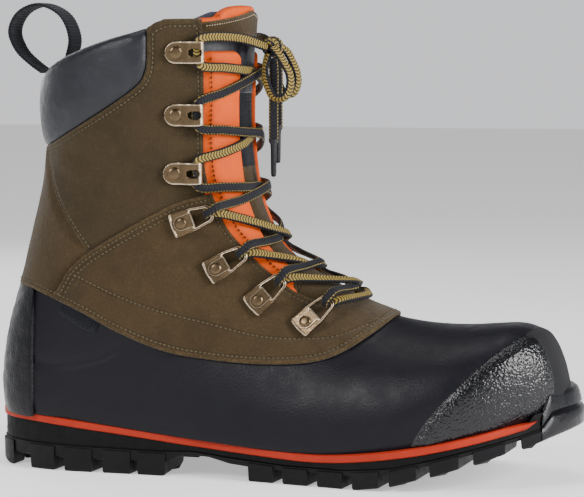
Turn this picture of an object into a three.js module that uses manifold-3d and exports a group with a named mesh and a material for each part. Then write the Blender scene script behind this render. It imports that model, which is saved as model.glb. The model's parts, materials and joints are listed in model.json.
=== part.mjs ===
// A laced, insulated hunting boot (right foot) as an assembly of its separate pieces.
// Millimetres. +X points to the toe, -Y is the outer (lateral) side, +Z is up, the floor is z = 0.
import * as THREE from "three";
import { mergeVertices } from "three/addons/utils/BufferGeometryUtils.js";
import Module from "manifold-3d";

const wasm = await Module();
wasm.setup();

// ---------------------------------------------------------------- driving dimensions
const GAP = 0.3; // clearance kept between pieces that touch
const HALF_SPACE = 95; // half the width of a cutting block, wider than the boot
const FAR_BACK = -185; // and the other limits of such blocks, all outside the boot
const FAR_FRONT = 200;
const FAR_UP = 320;
const FAR_DOWN = -40;
const SHAFT_FRONT = 90; // in front of the whole shaft and tongue
const RING_SIDES = 22; // sides of one section round the boot's body
const RINGS = 25; // sections from the collar to the toe

// Depths of the layers below the visible outer surface; leather stands proud of the rubber shell.
const LEATHER_OUT = -2.4;
const LEATHER_IN = -GAP;
const SHELL_IN = 3.0;
const STIFFENER_OUT = 3.3;
const STIFFENER_IN = 4.8;
const BOOTIE_OUT = 5.1;
const BOOTIE_IN = 8.0;
const FOOTBED_SIDE = 9.0;
const PAD_OUT = -5.5;
const BAND_OUT = -3.2;

// Heights of the inside layers above the top of the welt line.
const SHELL_FLOOR = 5.0;
const BOARD_LOW = 5.3;
const BOARD_HIGH = 7.3;
const BOOTIE_FLOOR_LOW = 7.6;
const BOOTIE_FLOOR_HIGH = 10.2;
const FOOTBED_LOW = 10.5;
const FOOTBED_HIGH = 15.0;

const WELT_THICK = 4.2; // the coloured line round the sole
const BURIED = 7; // how far the body's sections run on below the welt line
const LUG_DEPTH = 7;
const COLLAR_TOP = 244;
const FACE_HALF = 12.5; // half the width of the strip down the middle of the tongue

// Key sections of the body, collar to toe. Each is a plane across the boot through a front (or top)
// point and a back (or bottom) point of the side view, with its half-widths to either side, where
// along it the boot is widest (0 front, 1 back) and how boxy its front and back halves are.
const SECTIONS = [
  { front: [-20, 275], back: [-127, 238], outer: 46.5, inner: 46.5, widest: 0.52, nf: 2.2, nb: 2.1 },
  { front: [-21, 251], back: [-131, 218], outer: 46.5, inner: 46.5, widest: 0.52, nf: 2.2, nb: 2.1 },
  { front: [-22.5, 229], back: [-134, 200], outer: 46, inner: 46, widest: 0.52, nf: 2.2, nb: 2.1 },
  { front: [-24, 207], back: [-133.5, 183], outer: 45, inner: 45, widest: 0.52, nf: 2.2, nb: 2.1 },
  { front: [-24, 187], back: [-134.5, 167], outer: 44, inner: 44, widest: 0.52, nf: 2.2, nb: 2.1 },
  { front: [-22.5, 169], back: [-137, 150], outer: 43, inner: 43, widest: 0.52, nf: 2.2, nb: 2.2 },
  { front: [-19, 151], back: [-141, 132], outer: 42.5, inner: 42.5, widest: 0.53, nf: 2.1, nb: 2.3 },
  { front: [-13, 134.5], back: [-145.5, 113], outer: 43, inner: 43, widest: 0.54, nf: 2.1, nb: 2.4 },
  { front: [-5, 121.5], back: [-150, 96], outer: 44, inner: 43.5, widest: 0.56, nf: 2, nb: 2.5 },
  { front: [5, 112.5], back: [-155, 78], outer: 45, inner: 44, widest: 0.58, nf: 2, nb: 2.6 },
  { front: [14, 107], back: [-158, 59], outer: 46, inner: 44.5, widest: 0.6, nf: 2, nb: 2.7 },
  { front: [22.5, 102.5], back: [-158.3, 40], outer: 46, inner: 44.5, widest: 0.62, nf: 2, nb: 2.9 },
  { front: [30.5, 98.5], back: [-151, 25.5], outer: 46, inner: 44, widest: 0.64, nf: 2, nb: 3.5 },
  { front: [38, 94.5], back: [-125, 22.5], outer: 46, inner: 43, widest: 0.66, nf: 2, nb: 4.5 },
  { front: [45.5, 91.2], back: [-92, 19.5], outer: 46.5, inner: 43, widest: 0.68, nf: 2, nb: 5 },
  { front: [53.5, 88.2], back: [-58, 16], outer: 47.5, inner: 43.5, widest: 0.7, nf: 2, nb: 5 },
  { front: [62, 85.2], back: [-24, 12.5], outer: 49.5, inner: 45.5, widest: 0.72, nf: 2, nb: 5 },
  { front: [70.5, 83.4], back: [8, 10.7], outer: 52, inner: 48.5, widest: 0.73, nf: 2.1, nb: 4.8 },
  { front: [80, 82.2], back: [38, 10.3], outer: 54.5, inner: 51, widest: 0.735, nf: 2.15, nb: 4.6 },
  { front: [91, 81.6], back: [64, 13], outer: 55.5, inner: 53, widest: 0.735, nf: 2.2, nb: 4.5 },
  { front: [103, 81.7], back: [86, 17], outer: 54, inner: 53, widest: 0.73, nf: 2.3, nb: 4.4 },
  { front: [115, 82.6], back: [104, 21], outer: 49.5, inner: 51, widest: 0.72, nf: 2.4, nb: 4.2 },
  { front: [127, 83.2], back: [119, 25], outer: 42.5, inner: 46, widest: 0.7, nf: 2.5, nb: 4 },
  { front: [136, 81.2], back: [131, 28.5], outer: 34, inner: 39, widest: 0.66, nf: 2.5, nb: 3.6 },
  { front: [143, 75.2], back: [140.5, 32], outer: 25.5, inner: 30.5, widest: 0.62, nf: 2.5, nb: 3.2 },
  { front: [148, 65.5], back: [147, 35.5], outer: 17.5, inner: 22, widest: 0.56, nf: 2.4, nb: 2.8 },
  { front: [151.5, 54], back: [151, 41], outer: 9.5, inner: 13, widest: 0.5, nf: 2.2, nb: 2.2 },
];

// Side-view lines of the seams, as [x, z], each from back to front.
const WELT_TOP = [[-170, 31], [-130, 30], [-82, 25.5], [-40, 21], [0, 18], [35, 17.2], [76, 22],
  [112, 29.5], [142, 37.5], [172, 46]];
const RIM = [[-170, 99], [-140, 98.5], [-127, 96], [-104, 87.5], [-80, 76], [-57, 67.5], [-35, 64],
  [-7, 62], [20, 63], [36, 67], [51, 76], [62, 86], [71, 100]];
const DIAGONAL = [[-126, 92], [-109, 109.5], [-98, 119], [-75, 133], [-52, 145.5], [-33.5, 151.5]];
const REAR_SEAM = [[-130, 184], [-126, 167], [-119, 149], [-109, 133], [-96, 116]];
const PAD_EDGE = [[-160, 170], [-136, 174], [-119, 179], [-92, 193.5], [-72, 207], [-66, 215],
  [-64.5, 228], [-64.5, 262]];
const COLLAR_LINE = [[-175, 200], [-140, 211], [-133, 213], [-118, 221.5], [-94, 230.5], [-66, 238.5],
  [-58, 242.5], [-40, COLLAR_TOP], [90, COLLAR_TOP]];
const EYESTAY = [[-38, 275], [-38, 229], [-38.2, 203], [-38.7, 176], [-37, 158], [-33.5, 147],
  [-27, 132], [-15, 117], [-3, 106.5], [9, 98], [20, 93.5], [32, 92], [41, 95]];
const TOE_CAP_EDGE = [[72, 8], [81, 24], [89, 37], [99, 49], [116, 66.5], [131, 78], [140, 83],
  [146, 90]];
const TONGUE_LINE = [[-175, 243], [-38, 244.5], [-31, 249], [-18, 252.5], [60, 253]];
const BUMPER_BACK = [[145, 0], [145, 36], [151.5, 48], [156, 50]];

// Plan-view outline of the sole, as [x, y], anticlockwise from the heel.
const SOLE_OUTLINE = [[-162.5, -2], [-153, -27], [-124, -42], [-77, -44], [-26, -45], [26, -53],
  [66, -58.5], [106, -54], [136, -37], [152, -19], [160.5, 3], [155, 29], [122, 52], [81, 58], [40, 52],
  [-10, 39], [-61, 38], [-112, 42], [-149, 31]];

// The floor-side outline of the sole in the side view: heel, raised arch, ball and toe spring.
const HEEL_FRONT = -56;
const ARCH_FRONT = -12;
const BALL_FRONT = 52;

// ---------------------------------------------------------------- materials
function material(colour, roughness, metalness = 0) {
  return new THREE.MeshStandardMaterial({ color: colour, roughness, metalness });
}

const MATERIALS = {
  nubuck: material(0x4a3d24, 0.9),
  shellRubber: material(0x17181c, 0.45),
  glossRubber: material(0x1b1c20, 0.3),
  soleRubber: material(0x131314, 0.7),
  midsoleFoam: material(0x161617, 0.8),
  weltRubber: material(0xc2411f, 0.6),
  padLeather: material(0x18191d, 0.5),
  orangeLeather: material(0xe8571a, 0.7),
  blackWebbing: material(0x15161a, 0.85),
  brass: material(0x8a7250, 0.4, 0.9),
  laceCord: material(0x57502a, 0.8),
  aglet: material(0x1c1c1e, 0.4),
  lining: material(0x1c2130, 0.95),
  insulation: material(0xc9c4b4, 1),
  board: material(0x8c7a5c, 0.9),
  steel: material(0x9a9da1, 0.35, 1),
  stiffener: material(0xb9a98a, 0.8),
  footbed: material(0x34363b, 0.95),
};

// ---------------------------------------------------------------- solids
function toSolid(geometry) {
  const bare = geometry.clone();
  bare.deleteAttribute("normal");
  bare.deleteAttribute("uv");
  const merged = mergeVertices(bare, 1e-4);
  const vertProperties = new Float32Array(merged.attributes.position.array);
  const triVerts = new Uint32Array(merged.index.array);
  return new wasm.Manifold(new wasm.Mesh({ numProp: 3, vertProperties, triVerts }));
}

function toGeometry(solid) {
  const mesh = solid.getMesh();
  const geometry = new THREE.BufferGeometry();
  geometry.setAttribute("position", new THREE.BufferAttribute(new Float32Array(mesh.vertProperties), 3));
  geometry.setIndex(new THREE.BufferAttribute(new Uint32Array(mesh.triVerts), 1));
  geometry.computeVertexNormals();
  return geometry;
}

const boot = new THREE.Group();

function place(name, geometry, look) {
  const mesh = new THREE.Mesh(geometry, look);
  mesh.name = name;
  boot.add(mesh);
  return mesh;
}

function placeSolid(name, solid, look) {
  return place(name, toGeometry(solid), look);
}

// A block with the given side-view outline, from y = low to y = high.
function sideBlock(points, low = -HALF_SPACE, high = HALF_SPACE) {
  const shape = new THREE.Shape(points.map(([x, z]) => new THREE.Vector2(x, z)));
  const geometry = new THREE.ExtrudeGeometry(shape, { depth: high - low, bevelEnabled: false });
  geometry.rotateX(Math.PI / 2);
  geometry.translate(0, high, 0);
  return toSolid(geometry);
}

// A block with the given plan-view outline, from z = low to z = high.
function planBlock(points, low, high) {
  const shape = new THREE.Shape(points.map(([x, y]) => new THREE.Vector2(x, y)));
  const geometry = new THREE.ExtrudeGeometry(shape, { depth: high - low, bevelEnabled: false });
  geometry.translate(0, 0, low);
  return toSolid(geometry);
}

// A plain block between the given limits.
function slab(yLow, yHigh, zLow, zHigh, xLow = FAR_BACK, xHigh = SHAFT_FRONT) {
  return sideBlock([[xLow, zLow], [xHigh, zLow], [xHigh, zHigh], [xLow, zHigh]], yLow, yHigh);
}

function rounded(points, steps, closed = false) {
  const curve = new THREE.CatmullRomCurve3(points.map(([a, b]) => new THREE.Vector3(a, b, 0)), closed);
  const result = curve.getPoints(steps).map((p) => [p.x, p.y]);
  return closed ? result.slice(0, -1) : result;
}

function shifted(points, dx, dz) {
  return points.map(([x, z]) => [x + dx, z + dz]);
}

// Everything on one side of a side-view line that runs from back to front.
function above(line, dz = 0) {
  const edge = shifted(line, 0, dz);
  return sideBlock([...edge, [edge.at(-1)[0], FAR_UP], [edge[0][0], FAR_UP]]);
}

function below(line, dz = 0) {
  const edge = shifted(line, 0, dz);
  return sideBlock([[edge[0][0], FAR_DOWN], [edge.at(-1)[0], FAR_DOWN], ...edge.toReversed()]);
}

// ---------------------------------------------------------------- the body's surface
function spline(values, t) {
  const last = values.length - 1;
  const i = Math.min(Math.floor(t), last - 1);
  const f = t - i;
  const a = values[Math.max(i - 1, 0)];
  const b = values[i];
  const c = values[i + 1];
  const d = values[Math.min(i + 2, last)];
  const bend = 2 * a - 5 * b + 4 * c - d;
  const twist = 3 * (b - c) + d - a;
  return b + 0.5 * f * (c - a + f * (bend + f * twist));
}

const column = (pick) => SECTIONS.map(pick);
const FRONT_X = column((s) => s.front[0]);
const FRONT_Z = column((s) => s.front[1]);
const BACK_X = column((s) => s.back[0]);
const BACK_Z = column((s) => s.back[1]);
const OUTER = column((s) => s.outer);
const INNER = column((s) => s.inner);
const WIDEST = column((s) => s.widest);
const FRONT_POWER = column((s) => s.nf);
const BACK_POWER = column((s) => s.nb);
const SECTION_END = SECTIONS.length - 1;

// A point of a side-view curve moved inwards by a depth; turn is +1 where inwards is to its right.
function inset(xs, zs, t, depth, turn) {
  const e = 0.05;
  const dx = spline(xs, Math.min(t + e, SECTION_END)) - spline(xs, Math.max(t - e, 0));
  const dz = spline(zs, Math.min(t + e, SECTION_END)) - spline(zs, Math.max(t - e, 0));
  const length = Math.hypot(dx, dz);
  return [spline(xs, t) + (turn * depth * dz) / length, spline(zs, t) - (turn * depth * dx) / length];
}

// The section at t, a depth below the surface. Where the back line runs along the sole, the layers
// inside the boot keep their own floor heights, given as the lift of the floor.
function section(t, depth, lift) {
  const front = inset(FRONT_X, FRONT_Z, t, depth, 1);
  const back = inset(BACK_X, BACK_Z, t, depth, -1);
  const room = 0.35 * Math.max(front[1] - back[1], 0);
  const onSole = THREE.MathUtils.smoothstep(t, 10.5, 12.5);
  back[1] += onSole * Math.min(lift, room);
  return {
    front,
    back,
    outer: Math.max(spline(OUTER, t) - depth, 1.5),
    inner: Math.max(spline(INNER, t) - depth, 1.5),
    widest: spline(WIDEST, t),
    nf: spline(FRONT_POWER, t),
    nb: spline(BACK_POWER, t),
  };
}

// A point of a section: angle 0 at the front, pi at the back, side -1 outer and +1 inner.
function sectionPoint(s, angle, side) {
  const c = Math.cos(angle);
  const onFront = c >= 0;
  const power = 2 / (onFront ? s.nf : s.nb);
  const reach = Math.abs(c) ** power;
  const along = onFront ? s.widest * (1 - reach) : s.widest + (1 - s.widest) * reach;
  const wide = (side < 0 ? s.outer : s.inner) * Math.max(Math.sin(angle), 0) ** power;
  const x = s.front[0] + (s.back[0] - s.front[0]) * along;
  const z = s.front[1] + (s.back[1] - s.front[1]) * along;
  return [x, side * wide, z];
}

// The closed body whose surface lies a depth inside the visible one.
function body(depth, lift = 0) {
  const positions = [];
  const index = [];
  for (let ring = 0; ring < RINGS; ring += 1) {
    const s = section((SECTION_END * ring) / (RINGS - 1), depth, lift);
    for (let k = 0; k < RING_SIDES; k += 1) {
      const turn = (2 * Math.PI * k) / RING_SIDES;
      const side = turn <= Math.PI ? -1 : 1;
      const angle = side < 0 ? turn : 2 * Math.PI - turn;
      positions.push(...sectionPoint(s, angle, side));
    }
  }
  const at = (ring, k) => ring * RING_SIDES + (k % RING_SIDES);
  for (let ring = 0; ring < RINGS - 1; ring += 1) {
    for (let k = 0; k < RING_SIDES; k += 1) {
      index.push(at(ring, k), at(ring, k + 1), at(ring + 1, k));
      index.push(at(ring, k + 1), at(ring + 1, k + 1), at(ring + 1, k));
    }
  }
  for (const [ring, flip] of [[0, true], [RINGS - 1, false]]) {
    for (let k = 1; k < RING_SIDES - 1; k += 1) {
      const corners = [at(ring, 0), at(ring, k), at(ring, k + 1)];
      index.push(...(flip ? corners.toReversed() : corners));
    }
  }
  const geometry = new THREE.BufferGeometry();
  geometry.setAttribute("position", new THREE.Float32BufferAttribute(positions, 3));
  geometry.setIndex(index);
  return toSolid(geometry);
}

function layer(outerDepth, innerDepth, outerLift = 0, innerLift = 0) {
  return body(outerDepth, outerLift).subtract(body(innerDepth, innerLift));
}

const liftTo = (height, depth) => BURIED + height - depth;
const INNER_LIFT = liftTo(BOARD_HIGH, STIFFENER_IN);

// Where the side view's (x, z) lies on the surface raised by a height: its section and angle.
function locate(x, z, height) {
  const split = (t) => {
    const s = section(t, -height, 0);
    const ux = s.back[0] - s.front[0];
    const uz = s.back[1] - s.front[1];
    return { s, ux, uz, off: (x - s.front[0]) * uz - (z - s.front[1]) * ux };
  };
  let low = 0;
  let high = SECTION_END;
  const sign = Math.sign(split(low).off);
  for (let i = 0; i < 40; i += 1) {
    const mid = (low + high) / 2;
    if (Math.sign(split(mid).off) === sign) low = mid;
    else high = mid;
  }
  const { s, ux, uz } = split(low);
  const along = ((x - s.front[0]) * ux + (z - s.front[1]) * uz) / (ux * ux + uz * uz);
  const onFront = along < s.widest;
  const reach = onFront ? 1 - along / s.widest : (along - s.widest) / (1 - s.widest);
  const cosine = Math.min(Math.abs(reach), 1) ** ((onFront ? s.nf : s.nb) / 2);
  return { t: low, angle: Math.acos(onFront ? cosine : -cosine) };
}

function skin(t, angle, side, height) {
  return new THREE.Vector3(...sectionPoint(section(t, -height, 0), Math.abs(angle), side));
}

function onSurface(x, z, side, height) {
  const { t, angle } = locate(x, z, height);
  return skin(t, angle, side, height);
}

// A frame on the surface: x ahead along the heading, z out of the surface, nose lifted by a tilt.
function surfaceFrame(x, z, side, height, heading, tilt = 0) {
  const e = 0.5;
  const at = onSurface(x, z, side, height);
  const slopeX = (onSurface(x + e, z, side, height).y - onSurface(x - e, z, side, height).y) / (2 * e);
  const slopeZ = (onSurface(x, z + e, side, height).y - onSurface(x, z - e, side, height).y) / (2 * e);
  const normal = new THREE.Vector3(-slopeX, 1, -slopeZ).multiplyScalar(side).normalize();
  const ahead = new THREE.Vector3(Math.cos(heading), 0, Math.sin(heading));
  ahead.addScaledVector(normal, -ahead.dot(normal)).normalize();
  const across = new THREE.Vector3().crossVectors(normal, ahead);
  const tilted = new THREE.Matrix4().makeRotationY(-tilt);
  return new THREE.Matrix4().makeBasis(ahead, across, normal).setPosition(at).multiply(tilted);
}

// ---------------------------------------------------------------- regions of the side view
const openingFront = [[43, 130], [10, 180], [10, 300], [-38.5, 300]]; // in front of the shaft's face
const openingLine = rounded(EYESTAY, 26);
const opening = (gap) => sideBlock([...shifted(openingLine, gap, 0.5 * gap), ...openingFront]);
const rimLine = rounded(RIM, 24);
const weltLine = rounded(WELT_TOP, 16);
const collarLine = rounded(COLLAR_LINE, 14);
const padLine = rounded(PAD_EDGE, 14);
const diagonalLine = rounded(DIAGONAL, 8);
const rearLine = rounded(REAR_SEAM, 6);
const belowCollar = below(collarLine);
const aboveRim = above(rimLine, 0.15);
const aboveWelt = above(weltLine, GAP);
const shellTopLine = [...rimLine, [73, 300], [190, 300]];
const SHELL_UNDERLAP = 9; // how far the shell runs up under the leather's rim

// ---------------------------------------------------------------- upper leather
function leatherLayer() {
  return layer(LEATHER_OUT, LEATHER_IN).intersect(aboveRim).intersect(belowCollar)
    .subtract(opening(-0.2));
}

// Everything above the diagonal seam, or behind the rear seam, a little clear of the line itself.
function aboveDiagonal(gap) {
  const edge = shifted(diagonalLine, -0.6 * gap, 0.8 * gap);
  return sideBlock([[FAR_BACK, edge[0][1]], ...edge, [20, 172], [20, FAR_UP], [FAR_BACK, FAR_UP]]);
}

function behindRearSeam(gap) {
  const edge = shifted(rearLine, -gap, 0);
  return sideBlock([...edge, [edge.at(-1)[0], 60], [FAR_BACK, 60], [FAR_BACK, edge[0][1]]]);
}

const padRegion = (gap) => sideBlock([...shifted(padLine, -gap, 0.5 * gap), [FAR_BACK, 262]]);

function leatherPanels() {
  const leather = leatherLayer();
  const pad = padRegion(-0.2);
  const half = GAP / 2;
  const low = leather.subtract(aboveDiagonal(-half));
  placeSolid("vamp_and_lower_quarters", low, MATERIALS.nubuck);
  const high = leather.intersect(aboveDiagonal(half)).subtract(pad);
  placeSolid("rear_panel", high.intersect(behindRearSeam(half)), MATERIALS.nubuck);
  const quarters = high.subtract(behindRearSeam(-half));
  const sides = [["lateral", -HALF_SPACE, 0], ["medial", 0, HALF_SPACE]];
  for (const [name, from, to] of sides) {
    placeSolid(`shaft_quarter_${name}`, quarters.intersect(slab(from, to, 50, FAR_UP)), MATERIALS.nubuck);
  }
  const padSolid = layer(PAD_OUT, LEATHER_IN).intersect(padRegion(0.1)).intersect(belowCollar);
  placeSolid("collar_pad", padSolid, MATERIALS.padLeather);
}

// ---------------------------------------------------------------- rubber lower
const OVERLAY_OUT = -2; // how far the toe cap and the heel overlay stand out
const HEEL_OVERLAY_EDGE = [[-131, 20], [-133, 110]];

function rubberLower() {
  const shellTop = below(shellTopLine, SHELL_UNDERLAP);
  const shell = layer(0, SHELL_IN, 0, liftTo(SHELL_FLOOR, SHELL_IN));
  placeSolid("rubber_shell", shell.intersect(aboveWelt).intersect(shellTop), MATERIALS.shellRubber);
  const overlay = layer(OVERLAY_OUT, -GAP).intersect(aboveWelt).intersect(below(shellTopLine, -GAP));
  const capEdge = rounded(TOE_CAP_EDGE, 10);
  const capRegion = sideBlock([...capEdge, [FAR_FRONT, 92], [FAR_FRONT, 8]]);
  placeSolid("toe_cap", overlay.intersect(capRegion), MATERIALS.glossRubber);
  const heelRegion = sideBlock([...HEEL_OVERLAY_EDGE, [FAR_BACK, 110], [FAR_BACK, 20]]);
  placeSolid("heel_overlay", overlay.intersect(heelRegion), MATERIALS.shellRubber);
}

// ---------------------------------------------------------------- inside layers
const TOE_PUFF_BACK = 92;
const COUNTER_EDGE = [[-92, 20], [-100, 90]];
const BED_FRONT = 140; // the insole board and the footbed stop short of the toe's tip

// The inner boot follows the collar and then rises to the tongue.
const BOOTIE_TOP = [...collarLine.filter(([x]) => x < -41), [-38, COLLAR_TOP], [-30, 247.5], [160, 249]];

function insideLayers() {
  const aboveShell = above(rimLine, SHELL_UNDERLAP + GAP);
  const insulation = layer(0, STIFFENER_IN, 0, INNER_LIFT).intersect(aboveShell).intersect(belowCollar);
  placeSolid("shaft_insulation", insulation.subtract(opening(-0.5)), MATERIALS.insulation);

  const stiff = layer(STIFFENER_OUT, STIFFENER_IN, liftTo(BOARD_LOW, STIFFENER_OUT), INNER_LIFT)
    .intersect(above(weltLine, BOARD_HIGH + 2));
  const toe = slab(-HALF_SPACE, HALF_SPACE, 20, 120, TOE_PUFF_BACK, FAR_FRONT);
  placeSolid("toe_puff", stiff.intersect(toe), MATERIALS.stiffener);
  const heel = sideBlock([...COUNTER_EDGE, [FAR_BACK, 90], [FAR_BACK, 20]]);
  placeSolid("heel_counter", stiff.intersect(heel), MATERIALS.stiffener);

  const toeEnd = slab(-HALF_SPACE, HALF_SPACE, 0, 100, BED_FRONT, FAR_FRONT);
  const boardBody = body(STIFFENER_OUT, liftTo(BOARD_LOW, STIFFENER_OUT));
  const boardRegion = above(weltLine, BOARD_LOW).intersect(below(weltLine, BOARD_HIGH));
  placeSolid("insole_board", boardBody.intersect(boardRegion).subtract(toeEnd), MATERIALS.board);

  const bootieOut = body(BOOTIE_OUT, liftTo(BOOTIE_FLOOR_LOW, BOOTIE_OUT));
  const bootieIn = body(BOOTIE_IN, liftTo(BOOTIE_FLOOR_HIGH, BOOTIE_IN));
  const bootieTop = below(BOOTIE_TOP, -0.5);
  const aboveBoard = above(weltLine, BOOTIE_FLOOR_LOW);
  placeSolid("bootie_lining", bootieOut.subtract(bootieIn).intersect(bootieTop).intersect(aboveBoard),
    MATERIALS.lining);

  const bedBody = body(FOOTBED_SIDE, liftTo(FOOTBED_LOW, FOOTBED_SIDE));
  const bedRegion = above(weltLine, FOOTBED_LOW).intersect(below(weltLine, FOOTBED_HIGH));
  placeSolid("footbed", bedBody.intersect(bedRegion).subtract(toeEnd), MATERIALS.footbed);
}

// ---------------------------------------------------------------- tongue
const BAND_TOP = 231;
const PATCH_LOW = 234;
const PATCH_HIGH = 246;
const PIECE_LOW = 60; // below the whole tongue
const BASE_BACK = 8; // where the tongue's leather base takes over from the bands
const BASE_TIP = 40;
const FACE_OUT = -2; // how far the tongue's face, base and top patch stand out

function tongueParts() {
  const inOpening = opening(0.4).intersect(below(TONGUE_LINE));
  const core = layer(0, STIFFENER_IN, 0, INNER_LIFT).intersect(inOpening);
  placeSolid("tongue", core, MATERIALS.insulation);
  const base = slab(-HALF_SPACE, HALF_SPACE, PIECE_LOW, 140, BASE_BACK + GAP, BASE_TIP);
  const behindBase = slab(-HALF_SPACE, HALF_SPACE, PIECE_LOW, FAR_UP, -60, BASE_BACK);
  const bands = layer(BAND_OUT, -GAP).intersect(inOpening).intersect(behindBase);
  const lateral = bands.intersect(slab(-HALF_SPACE, -FACE_HALF - GAP, PIECE_LOW, BAND_TOP));
  placeSolid("tongue_band_lateral", lateral, MATERIALS.orangeLeather);
  const medial = bands.intersect(slab(FACE_HALF + GAP, HALF_SPACE, PIECE_LOW, BAND_TOP));
  placeSolid("tongue_band_medial", medial, MATERIALS.orangeLeather);
  const thin = layer(FACE_OUT, -GAP).intersect(inOpening);
  const face = thin.intersect(behindBase)
    .intersect(slab(-FACE_HALF, FACE_HALF, PIECE_LOW, PATCH_LOW - GAP));
  placeSolid("tongue_face", face, MATERIALS.blackWebbing);
  placeSolid("tongue_base", thin.intersect(base), MATERIALS.nubuck);
  const patch = thin.intersect(slab(-HALF_SPACE, HALF_SPACE, PATCH_LOW, PATCH_HIGH));
  placeSolid("tongue_top_patch", patch, MATERIALS.nubuck);
}

// ---------------------------------------------------------------- sole
const soleEdge = rounded(SOLE_OUTLINE, 64, true);
const SOLE_LOW = -5; // limits of the blocks cut to the sole's outline
const SOLE_HIGH = 60;

// The sole's outline, moved out by a margin of its own for each layer.
function soleBlock(margin) {
  const lengthways = 0.35; // the sole is about three times as long as it is wide
  const outline = soleEdge.map(([x, y]) => {
    const k = margin / Math.hypot(x * lengthways, y);
    return [x + x * lengthways * k, y + y * k];
  });
  return planBlock(outline, SOLE_LOW, SOLE_HIGH);
}

// The floor line of the sole in the side view, with its toe spring.
const FLOOR_LINE = [[-175, 6], [-159, 1.5], [-151, 0], [HEEL_FRONT, 0], [HEEL_FRONT + 6, 10], [-34, 10.5],
  [ARCH_FRONT - 6, 7], [ARCH_FRONT, 0], [BALL_FRONT, 0], [68, 2], [90, 8], [112, 14.5], [140, 23.5],
  [172, 34]];

// The plate from which the lugs hang, and the tops of the outsole and the midsole.
const PLATE_LINE = [[-175, 12], [-150, LUG_DEPTH], [HEEL_FRONT, LUG_DEPTH], [-46, 11.5], [-32, 11.5],
  [ARCH_FRONT - 8, 8.5], [-2, LUG_DEPTH], [BALL_FRONT, LUG_DEPTH], [72, 9], [92, 14.5], [112, 20],
  [140, 28], [172, 37]];
const OUTSOLE_TOP = [[-175, 15], [-60, 13], [-40, 13.8], [-20, 11.6], [10, 9.7], [45, 9.5], [72, 12.2],
  [92, 17], [112, 22.3], [140, 30], [172, 39.5]];
const MIDSOLE_TOP = shifted(WELT_TOP, 0, -WELT_THICK);

// One lug seen from below: a bar from the sole's edge inwards, angled forwards.
function lugBar(x, width, side, inner, slant) {
  const edge = side * HALF_SPACE;
  const bar = [[x, edge], [x + width, edge], [x + width + slant, side * inner], [x + slant, side * inner]];
  return planBlock(orient(bar), SOLE_LOW, SOLE_HIGH);
}

function orient(points) {
  const shape = points.map(([x, y]) => new THREE.Vector2(x, y));
  return THREE.ShapeUtils.area(shape) > 0 ? points : points.toReversed();
}

function treadPattern() {
  const bars = [];
  const edgeRows = [
    { xs: [-168, -139, -117, -95, -75], width: 16, inner: 17, slant: 5 },
    { xs: [-13, 7, 27, 47, 67, 88, 109, 130], width: 14.5, inner: 20, slant: 7 },
  ];
  for (const row of edgeRows) {
    for (const x of row.xs) {
      for (const side of [-1, 1]) bars.push(lugBar(x, row.width, side, row.inner, row.slant));
    }
  }
  for (const x of [-150, -126, -102, -78, 8, 33, 58, 83, 108]) {
    const diamond = [[x - 7, 0], [x, -11], [x + 9, -6], [x + 13, 0], [x + 9, 6], [x, 11]];
    bars.push(planBlock(diamond, SOLE_LOW, SOLE_HIGH));
  }
  return bars.reduce((all, bar) => all.add(bar));
}

// The toe bumper wraps the front of the sole and the foot of the toe cap.
function bumperRegion(gap) {
  return sideBlock([...shifted(BUMPER_BACK, gap, 0), [FAR_FRONT, 50], [FAR_FRONT, 0]]);
}

const BUMPER_OUT = -2.3; // how far the bumper's inner face stands off the shell

// The steel shank lies in a channel that is open at the midsole's underside.
const SHANK_LINE = [[-58, 18.4], [-40, 16.5], [0, 13.5], [26, 12.8]];
const SHANK_HALF = 8;
const SHANK_THICK = 1.5;

function shankBlock(grow) {
  const top = shifted(SHANK_LINE, 0, grow);
  const underside = shifted(SHANK_LINE, 0, -SHANK_THICK - grow);
  return sideBlock([...top, ...underside.toReversed()], -SHANK_HALF - grow, SHANK_HALF + grow);
}

function shankChannel() {
  const half = SHANK_HALF + GAP;
  const ends = slab(-half, half, SOLE_LOW, SOLE_HIGH, SHANK_LINE[0][0] - GAP, SHANK_LINE.at(-1)[0] + GAP);
  return ends.intersect(below(SHANK_LINE, GAP));
}

function soleStack() {
  const bumper = bumperRegion(0);
  const tread = above(FLOOR_LINE).intersect(below(OUTSOLE_TOP)).intersect(treadPattern())
    .intersect(soleBlock(0));
  const plate = above(PLATE_LINE).intersect(below(OUTSOLE_TOP)).intersect(soleBlock(-0.8));
  placeSolid("outsole", plate.add(tread).subtract(bumper), MATERIALS.soleRubber);
  placeSolid("shank", shankBlock(0), MATERIALS.steel);

  const midsoleTop = rounded(MIDSOLE_TOP, 16);
  const midsole = soleBlock(-1.6).intersect(above(OUTSOLE_TOP, GAP)).intersect(below(midsoleTop));
  placeSolid("midsole", midsole.subtract(shankChannel()).subtract(bumper), MATERIALS.midsoleFoam);

  const welt = soleBlock(-0.2).intersect(below(weltLine)).intersect(above(midsoleTop, GAP));
  placeSolid("welt_line", welt.subtract(bumper), MATERIALS.weltRubber);

  const toeBlock = soleBlock(1.2).intersect(bumperRegion(GAP)).intersect(above(FLOOR_LINE));
  placeSolid("toe_bumper", toeBlock.subtract(body(BUMPER_OUT)), MATERIALS.glossRubber);
}

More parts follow.
